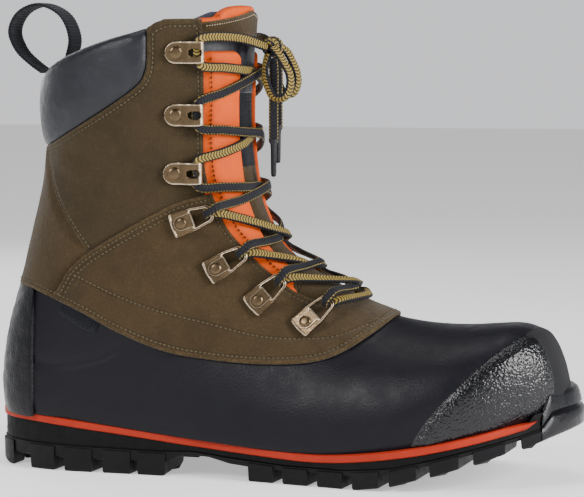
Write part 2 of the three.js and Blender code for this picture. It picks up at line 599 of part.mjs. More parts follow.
// ---------------------------------------------------------------- lacing hardware
const HOOKS = [[-49, 226], [-50, 193], [-51, 162]]; // rivet places, [x, z]
const LOOPS = [[-46, 136, 20], [-28, 112, 32], [-6, 95.5, 43], [20, 84.5, 50]]; // and headings
const PLATE = 1.2;
const SEAT = -LEATHER_OUT + 0.6; // height of the plates' undersides above the shell's surface
const HOOK_HALF = 6;
const HOOK_RAISE = 5.4;
const HOOK_FRONT = 13.5;
const LOOP_PLATE = 1.7;
const LOOP_TILT = THREE.MathUtils.degToRad(15);
const LOOP_LIFT = 7 * Math.sin(LOOP_TILT); // the heel of a tilted loop stays on the leather
const LOOP_BAR = 16.4; // distance from a loop's rivet to the middle of its nose bar
const LACE_RADIUS = 1.5;
const LACE_SIDES = 6;

function polygon(points) {
  return new THREE.Shape(points.map(([x, y]) => new THREE.Vector2(x, y)));
}

function extrudeUp(shape, low, high) {
  const options = { depth: high - low, bevelEnabled: false, curveSegments: 5 };
  const geometry = new THREE.ExtrudeGeometry(shape, options);
  geometry.translate(0, 0, low);
  return toSolid(geometry);
}

function rivetHead(x, radius, low, height) {
  const profile = [[0, low], [radius, low], [radius, low + 0.4 * height], [0.7 * radius, low + height],
    [0, low + height]];
  const head = new THREE.LatheGeometry(profile.map(([r, h]) => new THREE.Vector2(r, h)), 8);
  head.rotateX(Math.PI / 2);
  head.translate(x, 0, 0);
  return toSolid(head);
}

// A speed hook: a plate with a round heel, a raised slotted front and a lip that turns down.
function hookSolid() {
  const heel = new THREE.Shape();
  heel.absarc(0, 0, HOOK_HALF, Math.PI / 2, (3 * Math.PI) / 2, false);
  heel.lineTo(3.6, -HOOK_HALF);
  heel.lineTo(3.6, HOOK_HALF);
  const under = HOOK_RAISE - PLATE;
  const bridge = polygon([[3.5, 0], [6.2, under], [HOOK_FRONT, under], [HOOK_FRONT, 1.6],
    [HOOK_FRONT + PLATE, 1.6], [HOOK_FRONT + PLATE, HOOK_RAISE], [5.4, HOOK_RAISE], [2.6, PLATE], [2.6, 0]]);
  const geometry = new THREE.ExtrudeGeometry(bridge, { depth: 2 * HOOK_HALF, bevelEnabled: false });
  geometry.rotateX(Math.PI / 2);
  geometry.translate(0, HOOK_HALF, 0);
  const slot = polygon([[7.2, -0.8], [8, -1.5], [11, -1.5], [11.8, -0.8], [11.8, 0.8], [11, 1.5], [8, 1.5],
    [7.2, 0.8]]);
  return extrudeUp(heel, 0, PLATE).add(toSolid(geometry)).add(rivetHead(0, 4, PLATE - 0.1, 1.6))
    .subtract(extrudeUp(slot, 1, 8));
}

// A lace loop: a flat frame with a riveted tab at its heel and a narrow nose that holds the lace.
function loopSolid() {
  const frame = polygon([[-7, -6.5], [9, -6.5], [12, -4.9], [15.4, -4.9], [17.2, -3.2], [17.2, 3.2],
    [15.4, 4.9], [12, 4.9], [9, 6.5], [-7, 6.5]]);
  const hole = [[5.5, -4.9], [8.3, -4.9], [11.4, -3.4], [14.8, -3.4], [15.6, -2.6],
    [15.6, 2.6], [14.8, 3.4], [11.4, 3.4], [8.3, 4.9], [5.5, 4.9]];
  frame.holes.push(new THREE.Path(hole.map(([x, y]) => new THREE.Vector2(x, y))));
  return extrudeUp(frame, 0, LOOP_PLATE).add(rivetHead(-1, 3.8, LOOP_PLATE - 0.1, 1.5));
}

const SIDES = [["lateral", -1], ["medial", 1]];
const hookFrame = ([x, z], side) => surfaceFrame(x, z, side, SEAT, 0);
const loopFrame = ([x, z, turn], side, tilt) => surfaceFrame(x, z, side, SEAT + LOOP_LIFT,
  THREE.MathUtils.degToRad(turn), tilt);

function hardware() {
  const hook = hookSolid();
  const loop = loopSolid();
  for (const [name, side] of SIDES) {
    HOOKS.forEach((at, i) => {
      const node = place(`speed_hook_${name}_${i + 1}`, toGeometry(hook), MATERIALS.brass);
      node.applyMatrix4(hookFrame(at, side));
    });
    LOOPS.forEach((at, i) => {
      const node = place(`lace_loop_${name}_${i + 1}`, toGeometry(loop), MATERIALS.brass);
      node.applyMatrix4(loopFrame(at, side, LOOP_TILT));
    });
  }
}

// ---------------------------------------------------------------- laces
const KNOT = new THREE.Vector3(-9.7, 3, 229);
const KNOT_SIZE = [5.2, 7, 5];
const OVER_BANDS = -BAND_OUT + LACE_RADIUS + 1.8; // height of a lace's middle over the bands
const OVER_FACE = 2 + LACE_RADIUS + 0.8; // and over the middle of the tongue
const CROSSING = 2 * LACE_RADIUS + 0.8; // how much higher the upper lace of a crossing lies

// A tube whose steps are shared evenly between the points of its path, however far apart they are.
function tube(points, radius, sides, stepsPerSpan) {
  const curve = new THREE.CatmullRomCurve3(points, false, "centripetal");
  curve.getPointAt = (u, target) => curve.getPoint(u, target);
  curve.getTangentAt = (u, target) => curve.getTangent(u, target);
  const ring = Array.from({ length: sides }, (_, k) => (2 * Math.PI * (k + 0.5)) / sides);
  const shape = polygon(ring.map((a) => [radius * Math.cos(a), radius * Math.sin(a)]));
  const steps = stepsPerSpan * (points.length - 1);
  return new THREE.ExtrudeGeometry(shape, { steps, extrudePath: curve, bevelEnabled: false });
}

// The lace through one eyelet, from the strand that comes from above to the one that goes below.
// A hook's lace runs down behind its raised front; a loop's goes over its nose bar, in and under it.
function throughHook(at, side) {
  const frame = hookFrame(at, side);
  return [11, 0, -11].map((y) => new THREE.Vector3(9.4, -side * y, 2.2).applyMatrix4(frame));
}

function throughLoop(at, side) {
  const frame = loopFrame(at, side, 0);
  const bar = LOOP_BAR * Math.sin(LOOP_TILT) + 0.5 * LOOP_PLATE;
  const x = LOOP_BAR * Math.cos(LOOP_TILT);
  const turn = 0.5 * LOOP_PLATE + LACE_RADIUS + 0.9;
  const aside = 0.75 * turn;
  const points = [[x + 5, 2.6, bar + turn - 0.6], [x + 1, 1.5, bar + turn], [x - aside, 0.6, bar + aside],
    [x - turn - 0.2, 0, bar], [x - aside, -0.6, bar - aside], [x + 1, -1.5, bar - turn],
    [x + 5, -2.6, bar - turn + 0.4]];
  return points.map(([a, y, h]) => new THREE.Vector3(a, -side * y, h).applyMatrix4(frame));
}

function eyelet(i, side) {
  return i < HOOKS.length ? throughHook(HOOKS[i], side) : throughLoop(LOOPS[i - HOOKS.length], side);
}

// Where a strand lies on the tongue's band: a share of the way from the eyelet to the middle, and
// up (-1) or down (1) the boot from the eyelet.
function across(i, side, toward, share) {
  const from = i < HOOKS.length ? HOOKS[i] : LOOPS[i - HOOKS.length];
  const at = locate(from[0], from[1], OVER_BANDS);
  return skin(at.t + toward * (0.2 + 0.45 * share), at.angle * (1 - share), side, OVER_BANDS);
}

function middle(i, height) {
  const at = i < HOOKS.length ? HOOKS[i] : LOOPS[i - HOOKS.length];
  const next = i + 1 < HOOKS.length ? HOOKS[i + 1] : LOOPS[i + 1 - HOOKS.length];
  const upper = locate(at[0], at[1], height).t;
  const lower = next ? locate(next[0], next[1], height).t : upper + 0.3;
  return skin(0.5 * (upper + lower), 0, 1, height);
}

// One half of the lace, from the knot down to the lowest loop on the other side or its own.
function laceHalf(start) {
  const last = HOOKS.length + LOOPS.length - 1;
  const points = [KNOT.clone().add(new THREE.Vector3(-1, start * (KNOT_SIZE[1] + 1), 0)),
    across(0, start, -0.8, 0.5)];
  let side = start;
  for (let i = 0; i <= last; i += 1) {
    points.push(...eyelet(i, side));
    if (i === last) break;
    const upper = (i % 2 ? -1 : 1) === side;
    points.push(across(i, side, 1, 0.38), across(i, side, 1, 0.66));
    points.push(middle(i, OVER_FACE + (upper ? CROSSING : 0)));
    side = -side;
    points.push(across(i + 1, side, -1, 0.66), across(i + 1, side, -1, 0.38));
  }
  return points;
}

function laces() {
  const left = laceHalf(-1);
  const right = laceHalf(1).reverse();
  const bar = middle(HOOKS.length + LOOPS.length - 1, OVER_FACE);
  const path = [...left, bar, ...right];
  place("lace", tube(path, LACE_RADIUS, LACE_SIDES, 1), MATERIALS.laceCord);

  const knot = new THREE.SphereGeometry(1, 10, 7);
  knot.scale(...KNOT_SIZE);
  knot.translate(...KNOT);
  place("lace_knot", knot, MATERIALS.laceCord);
  for (const [name, side] of SIDES) {
    const loop = BOW[name].map((p) => new THREE.Vector3(...p));
    place(`bow_loop_${name}`, tube(loop, BOW_RADIUS, 8, 2), MATERIALS.laceCord);
    const end = LACE_END[name].map((p) => new THREE.Vector3(...p));
    place(`lace_end_${name}`, tube(end, BOW_RADIUS, 8, 2), MATERIALS.laceCord);
    const tip = end.at(-1);
    const aglet = new THREE.CylinderGeometry(1.3, 1.3, AGLET_LENGTH, 8);
    aglet.rotateX(Math.PI / 2);
    aglet.translate(tip.x, tip.y, tip.z - GAP - 0.5 * AGLET_LENGTH);
    place(`aglet_${name}`, aglet, MATERIALS.aglet);
  }
}

// The free parts of the bow, hanging from the knot.
const BOW_RADIUS = 1.7;
const AGLET_LENGTH = 19;
const BOW = {
  lateral: [[-6.5, -5.9, 228.5], [-4, -7.5, 226.5], [-0.5, -8.6, 221.5], [3.5, -9.3, 214.5],
    [3.8, -9.6, 207.5], [0.5, -9.8, 202], [-4.8, -9.8, 202], [-8.6, -9.5, 208], [-10.2, -8.8, 216],
    [-9.8, -7.3, 222], [-9.2, -5.9, 225]],
  medial: [[-6.5, 11.9, 228.5], [-4.5, 13.5, 226.5], [-2, 15, 221.5], [0.5, 16.3, 214.5], [0.3, 17, 208],
    [-2.6, 17.3, 203.5], [-7, 17.2, 204], [-9.6, 16.5, 209], [-10.4, 15.2, 216], [-9.8, 13.4, 222],
    [-9.2, 11.9, 225]],
};
const LACE_END = {
  lateral: [[-8.4, -0.4, 223], [-7.6, -1.2, 217], [-7.4, -1.8, 206], [-7.5, -2, 195], [-7.5, -2, 186],
    [-7.5, -2, 178]],
  medial: [[-8.4, 6.4, 223], [-7.8, 7.4, 217], [-7.8, 8, 208], [-8, 8, 199], [-8, 8, 191], [-8, 8, 185]],
};

// ---------------------------------------------------------------- pull loop and label
const WEB_THICK = 1.8;
const WEB_HALF = 10;
const LOOP_LINE = [[-124.5, 223], [-122.5, 234], [-128, 246.5], [-141, 252.5], [-153, 248], [-158, 238],
  [-154, 227.5], [-146, 220], [-139.5, 215.5]];

function pullLoop() {
  const line = rounded(LOOP_LINE, 26);
  const offset = (sign) => line.map(([x, z], i) => {
    const before = line[Math.max(i - 1, 0)];
    const after = line[Math.min(i + 1, line.length - 1)];
    const dx = after[0] - before[0];
    const dz = after[1] - before[1];
    const k = (0.5 * sign * WEB_THICK) / Math.hypot(dx, dz);
    return [x - dz * k, z + dx * k];
  });
  const ribbon = sideBlock([...offset(1), ...offset(-1).toReversed()], -WEB_HALF, WEB_HALF);
  placeSolid("pull_loop", ribbon, MATERIALS.blackWebbing);
}

function sideLabel() {
  const outline = [[-113, 92], [-116, 86], [-100, 77.5], [-93.5, 76], [-92, 81]];
  const region = sideBlock(outline, -HALF_SPACE, 0).intersect(below(rimLine, -GAP));
  placeSolid("side_label", layer(-1.3, -GAP).intersect(region), MATERIALS.blackWebbing);
}

// ---------------------------------------------------------------- build
leatherPanels();
rubberLower();
insideLayers();
tongueParts();
soleStack();
hardware();
laces();
pullLoop();
sideLabel();

export default boot;
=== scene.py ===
"""The looks of a laced, insulated hunting boot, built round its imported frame.

Sizes in this file are millimetres, in the frame's axes (+X toe, -Y outer side, +Z up), and are
turned into Blender's metres where a mesh is made.
"""
import json
import math

import bpy
import numpy as np
from mathutils import Matrix, Vector, noise

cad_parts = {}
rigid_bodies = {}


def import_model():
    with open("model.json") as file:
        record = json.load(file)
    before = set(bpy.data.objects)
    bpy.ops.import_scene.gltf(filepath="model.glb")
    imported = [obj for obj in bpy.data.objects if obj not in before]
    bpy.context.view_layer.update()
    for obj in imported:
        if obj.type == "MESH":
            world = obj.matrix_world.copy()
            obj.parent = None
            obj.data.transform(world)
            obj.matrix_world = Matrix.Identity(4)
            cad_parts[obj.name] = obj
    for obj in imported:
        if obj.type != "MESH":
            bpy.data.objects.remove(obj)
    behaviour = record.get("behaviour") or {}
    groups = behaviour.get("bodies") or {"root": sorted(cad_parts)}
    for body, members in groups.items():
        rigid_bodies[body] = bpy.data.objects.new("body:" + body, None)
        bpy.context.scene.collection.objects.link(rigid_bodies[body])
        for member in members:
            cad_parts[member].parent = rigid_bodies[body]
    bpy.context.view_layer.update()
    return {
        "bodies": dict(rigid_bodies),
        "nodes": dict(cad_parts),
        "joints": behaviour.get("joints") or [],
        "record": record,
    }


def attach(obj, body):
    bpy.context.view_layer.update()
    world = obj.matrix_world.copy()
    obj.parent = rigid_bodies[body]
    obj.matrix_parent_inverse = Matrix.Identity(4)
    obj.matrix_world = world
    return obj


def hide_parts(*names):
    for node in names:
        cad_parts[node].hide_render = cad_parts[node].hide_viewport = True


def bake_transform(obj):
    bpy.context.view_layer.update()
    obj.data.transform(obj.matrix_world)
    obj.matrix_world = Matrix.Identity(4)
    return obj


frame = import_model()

MM = 0.001

# ------------------------------------------------------------------ driving dimensions
LEATHER = 2.4  # how far the leather stands out from the rubber shell's surface
OVERLAY = 2.0  # the same for the toe cap and heel overlay
PAD = 5.5  # for the collar pad
BAND = 3.2  # and for the tongue's padded bands
LAP = 4.0  # how far a tucked edge runs on under its neighbour
TUCKED = 0.9  # height of a tucked edge
FACE_HALF = 12.5  # half the width of the strip down the tongue
LACE_WIDTH = 5.2
LACE_THICK = 2.5
PITCH = 2.5  # from one stitch to the next
STITCH = 1.7  # length of a stitch that shows
THREAD_RADIUS = 0.36
CURVE_STEPS = 5  # points on a smooth line for each given point
BRAID_STEP = 0.8  # from one ring of a braid to the next
SOLE_STATIONS = 150  # cross-sections along a layer of the sole
WELT_THICK = 4.2
BURIED = 7.0  # how far the body's sections run on below the welt line

# The body's sections, collar to toe: front point, back point, outer and inner half-widths, where
# along it the boot is widest, and how boxy its front and back halves are.
SECTIONS = [
    ((-20, 275), (-127, 238), 46.5, 46.5, 0.52, 2.2, 2.1),
    ((-21, 251), (-131, 218), 46.5, 46.5, 0.52, 2.2, 2.1),
    ((-22.5, 229), (-134, 200), 46, 46, 0.52, 2.2, 2.1),
    ((-24, 207), (-133.5, 183), 45, 45, 0.52, 2.2, 2.1),
    ((-24, 187), (-134.5, 167), 44, 44, 0.52, 2.2, 2.1),
    ((-22.5, 169), (-137, 150), 43, 43, 0.52, 2.2, 2.2),
    ((-19, 151), (-141, 132), 42.5, 42.5, 0.53, 2.1, 2.3),
    ((-13, 134.5), (-145.5, 113), 43, 43, 0.54, 2.1, 2.4),
    ((-5, 121.5), (-150, 96), 44, 43.5, 0.56, 2, 2.5),
    ((5, 112.5), (-155, 78), 45, 44, 0.58, 2, 2.6),
    ((14, 107), (-158, 59), 46, 44.5, 0.6, 2, 2.7),
    ((22.5, 102.5), (-158.3, 40), 46, 44.5, 0.62, 2, 2.9),
    ((30.5, 98.5), (-151, 25.5), 46, 44, 0.64, 2, 3.5),
    ((38, 94.5), (-125, 22.5), 46, 43, 0.66, 2, 4.5),
    ((45.5, 91.2), (-92, 19.5), 46.5, 43, 0.68, 2, 5),
    ((53.5, 88.2), (-58, 16), 47.5, 43.5, 0.7, 2, 5),
    ((62, 85.2), (-24, 12.5), 49.5, 45.5, 0.72, 2, 5),
    ((70.5, 83.4), (8, 10.7), 52, 48.5, 0.73, 2.1, 4.8),
    ((80, 82.2), (38, 10.3), 54.5, 51, 0.735, 2.15, 4.6),
    ((91, 81.6), (64, 13), 55.5, 53, 0.735, 2.2, 4.5),
    ((103, 81.7), (86, 17), 54, 53, 0.73, 2.3, 4.4),
    ((115, 82.6), (104, 21), 49.5, 51, 0.72, 2.4, 4.2),
    ((127, 83.2), (119, 25), 42.5, 46, 0.7, 2.5, 4),
    ((136, 81.2), (131, 28.5), 34, 39, 0.66, 2.5, 3.6),
    ((143, 75.2), (140.5, 32), 25.5, 30.5, 0.62, 2.5, 3.2),
    ((148, 65.5), (147, 35.5), 17.5, 22, 0.56, 2.4, 2.8),
    ((151.5, 54), (151, 41), 9.5, 13, 0.5, 2.2, 2.2),
]
SECTION_END = len(SECTIONS) - 1
TOE_TIP = SECTION_END + 1  # past the last section the skin closes over the toe
TOE_BULGE = np.array([1.2, 0, 0])
FRONT = np.array([s[0] for s in SECTIONS], float)
BACK = np.array([s[1] for s in SECTIONS], float)
SHAPE = np.array([s[2:] for s in SECTIONS], float)

# Side-view lines of the seams, as (x, z), from back to front.
WELT_TOP = [(-170, 31), (-130, 30), (-82, 25.5), (-40, 21), (0, 18), (35, 17.2), (76, 22),
            (112, 29.5), (142, 37.5), (172, 46)]
RIM = [(-170, 99), (-140, 98.5), (-127, 96), (-104, 87.5), (-80, 76), (-57, 67.5), (-35, 64),
       (-7, 62), (20, 63), (36, 67), (51, 76), (62, 86), (71, 100)]
SECOND_ROW = [(-170, 114), (-131, 113), (-108, 107), (-85, 97), (-63, 89), (-35, 82), (-2, 75),
              (31, 75), (47, 80), (59, 85), (70, 94)]
DIAGONAL = [(-185, 92), (-126, 92), (-109, 109.5), (-98, 119), (-75, 133), (-52, 145.5),
            (-33.5, 151.5), (20, 172)]
REAR_SEAM = [(-132, 200), (-130, 184), (-126, 167), (-119, 149), (-109, 133), (-96, 116), (-80, 92)]
PAD_EDGE = [(-160, 170), (-136, 174), (-119, 179), (-92, 193.5), (-72, 207), (-66, 215),
            (-64.5, 228), (-64.5, 262)]
COLLAR = [(-175, 200), (-140, 211), (-133, 213), (-118, 221.5), (-94, 230.5), (-66, 238.5),
          (-58, 242.5), (-40, 244), (90, 244)]
EYESTAY = [(-38, 275), (-38, 229), (-38.2, 203), (-38.7, 176), (-37, 158), (-33.5, 147), (-27, 132),
           (-15, 117), (-3, 106.5), (9, 98), (20, 93.5), (32, 92), (41, 95)]
TOE_CAP_EDGE = [(72, 8), (81, 24), (89, 37), (99, 49), (116, 66.5), (131, 78), (140, 83), (146, 90)]
HEEL_EDGE = [(-133, 120), (-131, 10)]
TONGUE_TOP = [(-175, 243), (-42, 244), (-30, 247.2), (-14, 252), (60, 253)]
PATCH_EDGE = [(-60, 236.5), (-38, 236), (-30, 232.5), (-24, 235), (40, 235)]

SOLE_OUTLINE = [(-162.5, -2), (-153, -27), (-124, -42), (-77, -44), (-26, -45), (26, -53),
                (66, -58.5), (106, -54), (136, -37), (152, -19), (160.5, 3), (155, 29), (122, 52),
                (81, 58), (40, 52), (-10, 39), (-61, 38), (-112, 42), (-149, 31)]
FLOOR_LINE = [(-175, 6), (-159, 1.5), (-151, 0), (-56, 0), (-50, 10), (-34, 10.5), (-18, 7), (-12, 0),
              (52, 0), (68, 2), (90, 8), (112, 14.5), (140, 23.5), (172, 34)]
PLATE_LINE = [(-175, 12), (-150, 7), (-56, 7), (-46, 11.5), (-32, 11.5), (-20, 8.5), (-2, 7), (52, 7),
              (72, 9), (92, 14.5), (112, 20), (140, 28), (172, 37)]
OUTSOLE_TOP = [(-175, 15), (-60, 13), (-40, 13.8), (-20, 11.6), (10, 9.7), (45, 9.5), (72, 12.2),
               (92, 17), (112, 22.3), (140, 30), (172, 39.5)]

HOOKS = [(-49, 226), (-50, 193), (-51, 162)]  # rivet places, (x, z)
LOOPS = [(-46, 136, 20), (-28, 112, 32), (-6, 95.5, 43), (20, 84.5, 50)]  # and headings
SEAT = LEATHER + 0.6
LOOP_TILT = math.radians(15)
LOOP_LIFT = 7 * math.sin(LOOP_TILT)
LOOP_BAR = 16.4
LACE_RADIUS = 1.5
SIDES = (("lateral", -1), ("medial", 1))


# ------------------------------------------------------------------ the boot's surface
def spline(values, t):
    """A smooth line through evenly spaced values."""
    last = len(values) - 1
    i = np.clip(np.floor(t).astype(int), 0, last - 1)
    f = t - i
    a, b, c, d = (values[np.clip(i + k, 0, last)] for k in (-1, 0, 1, 2))
    return b + 0.5 * f * (c - a + f * (2 * a - 5 * b + 4 * c - d + f * (3 * (b - c) + d - a)))


def smoothstep(x, low, high):
    x = np.clip((x - low) / (high - low), 0, 1)
    return x * x * (3 - 2 * x)


def moved(line, t, depth, turn):
    """A point of a side-view curve moved inwards by a depth."""
    e = 0.05
    ahead, behind = np.minimum(t + e, SECTION_END), np.maximum(t - e, 0)
    dx = spline(line[:, 0], ahead) - spline(line[:, 0], behind)
    dz = spline(line[:, 1], ahead) - spline(line[:, 1], behind)
    k = turn * depth / np.hypot(dx, dz)
    return spline(line[:, 0], t) + k * dz, spline(line[:, 1], t) - k * dx


def surface(t, angle, height=0.0, lift=0.0):
    """Points at a height over the shell's surface. Angle 0 is the front, pi the back, and a
    negative angle is on the outer side."""
    t, angle, height = np.broadcast_arrays(np.asarray(t, float), angle, height)
    angle = (angle + np.pi) % (2 * np.pi) - np.pi
    tip = np.clip(t - SECTION_END, 0, 1)[..., None]
    t = np.minimum(t, SECTION_END)
    fx, fz = moved(FRONT, t, -height, 1)
    bx, bz = moved(BACK, t, -height, -1)
    on_sole = smoothstep(t, 10.5, 12.5)
    bz = bz + on_sole * np.minimum(lift, 0.35 * np.maximum(fz - bz, 0))
    outer, inner, widest, nf, nb = (spline(SHAPE[:, k], t) for k in range(5))
    half = np.maximum(np.where(angle < 0, outer, inner) + height, 1.5)
    c, s = np.cos(angle), np.maximum(np.sin(np.abs(angle)), 0)
    power = 2 / np.where(c >= 0, nf, nb)
    reach = np.abs(c) ** power
    along = np.where(c >= 0, widest * (1 - reach), widest + (1 - widest) * reach)
    y = np.sign(angle) * half * s ** power
    p = np.stack([fx + (bx - fx) * along, y, fz + (bz - fz) * along], -1)
    middle = np.stack([0.5 * (fx + bx), 0 * y, 0.5 * (fz + bz)], -1)
    return p + tip * (middle - p) + TOE_BULGE * tip * (2 - tip)


def normals(t, angle):
    e = 0.02
    t, angle = np.broadcast_arrays(np.asarray(t, float), angle)
    t = np.minimum(t, TOE_TIP - 2 * e)
    along = surface(t + e, angle) - surface(np.maximum(t - e, 0), angle)
    around = surface(t, angle + e) - surface(t, angle - e)
    n = np.cross(along, around)
    return n / np.maximum(np.linalg.norm(n, axis=-1, keepdims=True), 1e-9)


def locate(x, z, height=0.0):
    """The section and angle where the side view's (x, z) lies on the raised surface."""
    def off(t):
        fx, fz = moved(FRONT, t, -height, 1)
        bx, bz = moved(BACK, t, -height, -1)
        return (x - fx) * (bz - fz) - (z - fz) * (bx - fx), fx, fz, bx, bz

    low, high = np.array(0.0), np.array(float(SECTION_END))
    sign = np.sign(off(low)[0])
    for _ in range(40):
        mid = 0.5 * (low + high)
        if np.sign(off(mid)[0]) == sign:
            low = mid
        else:
            high = mid
    _, fx, fz, bx, bz = off(low)
    along = ((x - fx) * (bx - fx) + (z - fz) * (bz - fz)) / ((bx - fx) ** 2 + (bz - fz) ** 2)
    widest, nf, nb = (float(spline(SHAPE[:, k], low)) for k in (2, 3, 4))
    front = along < widest
    reach = 1 - along / widest if front else (along - widest) / (1 - widest)
    cosine = min(abs(reach), 1) ** ((nf if front else nb) / 2)
    return float(low), math.acos(cosine if front else -cosine)


def on_surface(x, z, side, height):
    t, angle = locate(x, z, height)
    return surface(t, side * angle, height)


def surface_frame(x, z, side, height, heading, tilt=0.0):
    """A frame on the surface: x along the heading, z out of the surface, nose lifted by a tilt."""
    e = 0.5
    slope_x = (on_surface(x + e, z, side, height)[1] - on_surface(x - e, z, side, height)[1]) / (2 * e)
    slope_z = (on_surface(x, z + e, side, height)[1] - on_surface(x, z - e, side, height)[1]) / (2 * e)
    normal = (Vector((-slope_x, 1, -slope_z)) * side).normalized()
    ahead = Vector((math.cos(heading), 0, math.sin(heading)))
    ahead = (ahead - normal * ahead.dot(normal)).normalized()
    across = normal.cross(ahead)
    basis = Matrix((ahead, across, normal)).transposed().to_4x4()
    return Matrix.Translation(on_surface(x, z, side, height)) @ basis @ Matrix.Rotation(-tilt, 4, "Y")


# ------------------------------------------------------------------ seams and distances
def curve(points):
    """A smooth polyline through a side-view line's points."""
    p = np.array(points, float)
    t = np.linspace(0, len(p) - 1, CURVE_STEPS * (len(p) - 1) + 1)
    return np.stack([spline(p[:, 0], t), spline(p[:, 1], t)], -1)


def height_at(line, x):
    return np.interp(x, [p[0] for p in line], [p[1] for p in line])


def beyond(line):
    """A function for the distance over the surface from a side-view line, positive on its left."""
    start, end = line[:-1], line[1:]
    step = end - start
    length = np.linalg.norm(step, axis=1)
    unit = step / length[:, None]

    def distance(p, n):
        rel = p[:, None, [0, 2]] - start[None]
        along = np.clip((rel * unit).sum(-1), 0, length)
        gap = np.linalg.norm(rel - along[..., None] * unit, axis=-1)
        k = gap.argmin(1)
        rows = np.arange(len(p))
        u, r = unit[k], rel[rows, k]
        sign = np.sign(u[:, 0] * r[:, 1] - u[:, 1] * r[:, 0])
        lean = np.abs(-u[:, 1] * n[:, 0] + u[:, 0] * n[:, 2])
        return sign * gap[rows, k] / np.maximum(np.sqrt(np.maximum(1 - lean ** 2, 0)), 0.35)

    return distance


def flipped(distance):
    return lambda p, n: -distance(p, n)


def aside(half, sign):
    """The distance outside (1) or inside (-1) a strip along the boot's middle."""
    return lambda p, n: sign * (np.abs(p[:, 1]) - half) / np.maximum(np.sqrt(1 - n[:, 1] ** 2), 0.35)


def on_side(sign):
    return lambda p, n: sign * p[:, 1] / np.maximum(np.sqrt(1 - n[:, 1] ** 2), 0.35)


ABOVE_WELT = beyond(curve(WELT_TOP))
ABOVE_RIM = beyond(curve(RIM))
ABOVE_SECOND = beyond(curve(SECOND_ROW))
ABOVE_DIAGONAL = beyond(curve(DIAGONAL))
BEFORE_REAR = beyond(curve(REAR_SEAM))
IN_PAD = beyond(curve(PAD_EDGE))
ABOVE_COLLAR = beyond(curve(COLLAR))
IN_OPENING = beyond(curve(EYESTAY))
BEHIND_CAP = beyond(curve(TOE_CAP_EDGE))
BEFORE_HEEL = beyond(curve(HEEL_EDGE))
ABOVE_TONGUE = beyond(curve(TONGUE_TOP))
ABOVE_PATCH = beyond(curve(PATCH_EDGE))


# ------------------------------------------------------------------ nets over the surface
class Net:
    """Faces over part of the surface; each vertex has a section t and an angle a."""

    def __init__(self, t_range, rows, cols, angles=(-1.0, 1.0)):
        t = np.linspace(*t_range, rows)
        share = np.linspace(*angles, cols)
        dense = np.linspace(0, np.pi, 241)
        grid = []
        for side in (-1, 1):
            p = surface(t[:, None], side * dense[None])
            run = np.linalg.norm(np.diff(p, axis=1), axis=2).cumsum(1)
            run = np.pad(run, ((0, 0), (1, 0))) / run[:, -1:]
            grid.append([np.interp(np.abs(share), r, dense) for r in run])
        angle = np.where(share < 0, -np.array(grid[0]), np.array(grid[1]))
        self.t = np.repeat(t, cols)
        self.a = angle.ravel()
        at = np.arange(rows * cols).reshape(rows, cols)
        quads = np.stack([at[:-1, :-1], at[:-1, 1:], at[1:, 1:], at[1:, :-1]], -1).reshape(-1, 4)
        self.faces = quads.tolist()

    def places(self):
        return surface(self.t, self.a), normals(self.t, self.a)

    def part_way(self, i, j, f):
        turn = (self.a[j] - self.a[i] + np.pi) % (2 * np.pi) - np.pi
        return self.t[i] + f * (self.t[j] - self.t[i]), self.a[i] + f * turn

    def cut(self, values, level, drop=False):
        """Splits the faces along values = level, and drops what lies below it if asked."""
        up = values >= level
        count = len(self.t)
        new, pairs, share, faces = {}, [], [], []

        def crossing(i, j):
            key = (min(i, j), max(i, j))
            if key not in new:
                new[key] = count + len(new)
                pairs.append(key)
                share.append((level - values[key[0]]) / (values[key[1]] - values[key[0]]))
            return new[key]

        for face in self.faces:
            kept = [up[i] for i in face]
            if all(kept):
                faces.append(face)
                continue
            if not any(kept):
                if not drop:
                    faces.append(face)
                continue
            high, low = [], []
            for i, j in zip(face, face[1:] + face[:1]):
                (high if up[i] else low).append(i)
                if up[i] != up[j]:
                    k = crossing(i, j)
                    high.append(k)
                    low.append(k)
            faces.append(high)
            if not drop:
                faces.append(low)
        if pairs:
            t, a = self.part_way(*np.array(pairs).T, np.array(share))
            self.t, self.a = np.append(self.t, t), np.append(self.a, a)
        self.faces = faces
        self.tidy()

    def tidy(self):
        """Forgets unused vertices and joins those at one place, such as along the back."""
        used = sorted({i for face in self.faces for i in face})
        p = np.round(surface(self.t[used], self.a[used]), 3) + 0.0
        first, index = {}, {}
        for i, place in zip(used, map(tuple, p)):
            index[i] = first.setdefault(place, len(first))
        keep = {}
        for i in used:
            keep.setdefault(index[i], i)
        order = [keep[k] for k in range(len(first))]
        faces = []
        for face in self.faces:
            ring = [index[i] for i in face]
            ring = [v for k, v in enumerate(ring) if v != ring[k - 1]]
            if len(set(ring)) > 2:
                faces.append(ring)
        self.t, self.a, self.faces = self.t[order], self.a[order], faces

    def lines(self, values, level):
        """The lines along which values = level, each as its sections and angles."""
        up = values >= level
        links, place = {}, {}
        for face in self.faces:
            ends = []
            for i, j in zip(face, face[1:] + face[:1]):
                if up[i] != up[j]:
                    key = (min(i, j), max(i, j))
                    f = (level - values[key[0]]) / (values[key[1]] - values[key[0]])
                    place[key] = self.part_way(*key, f)
                    ends.append(key)
            if len(ends) == 2:
                links.setdefault(ends[0], []).append(ends[1])
                links.setdefault(ends[1], []).append(ends[0])
        found = []
        while links:
            start = next((k for k, v in links.items() if len(v) == 1), next(iter(links)))
            chain = [start]
            while links.get(chain[-1]):
                last = chain[-1]
                follow = links[last].pop()
                links[follow].remove(last)
                chain.append(follow)
            for key in chain:
                if not links.get(key):
                    links.pop(key, None)
            if len(chain) > 3:
                found.append(np.array([place[key] for key in chain]).T)
        return found


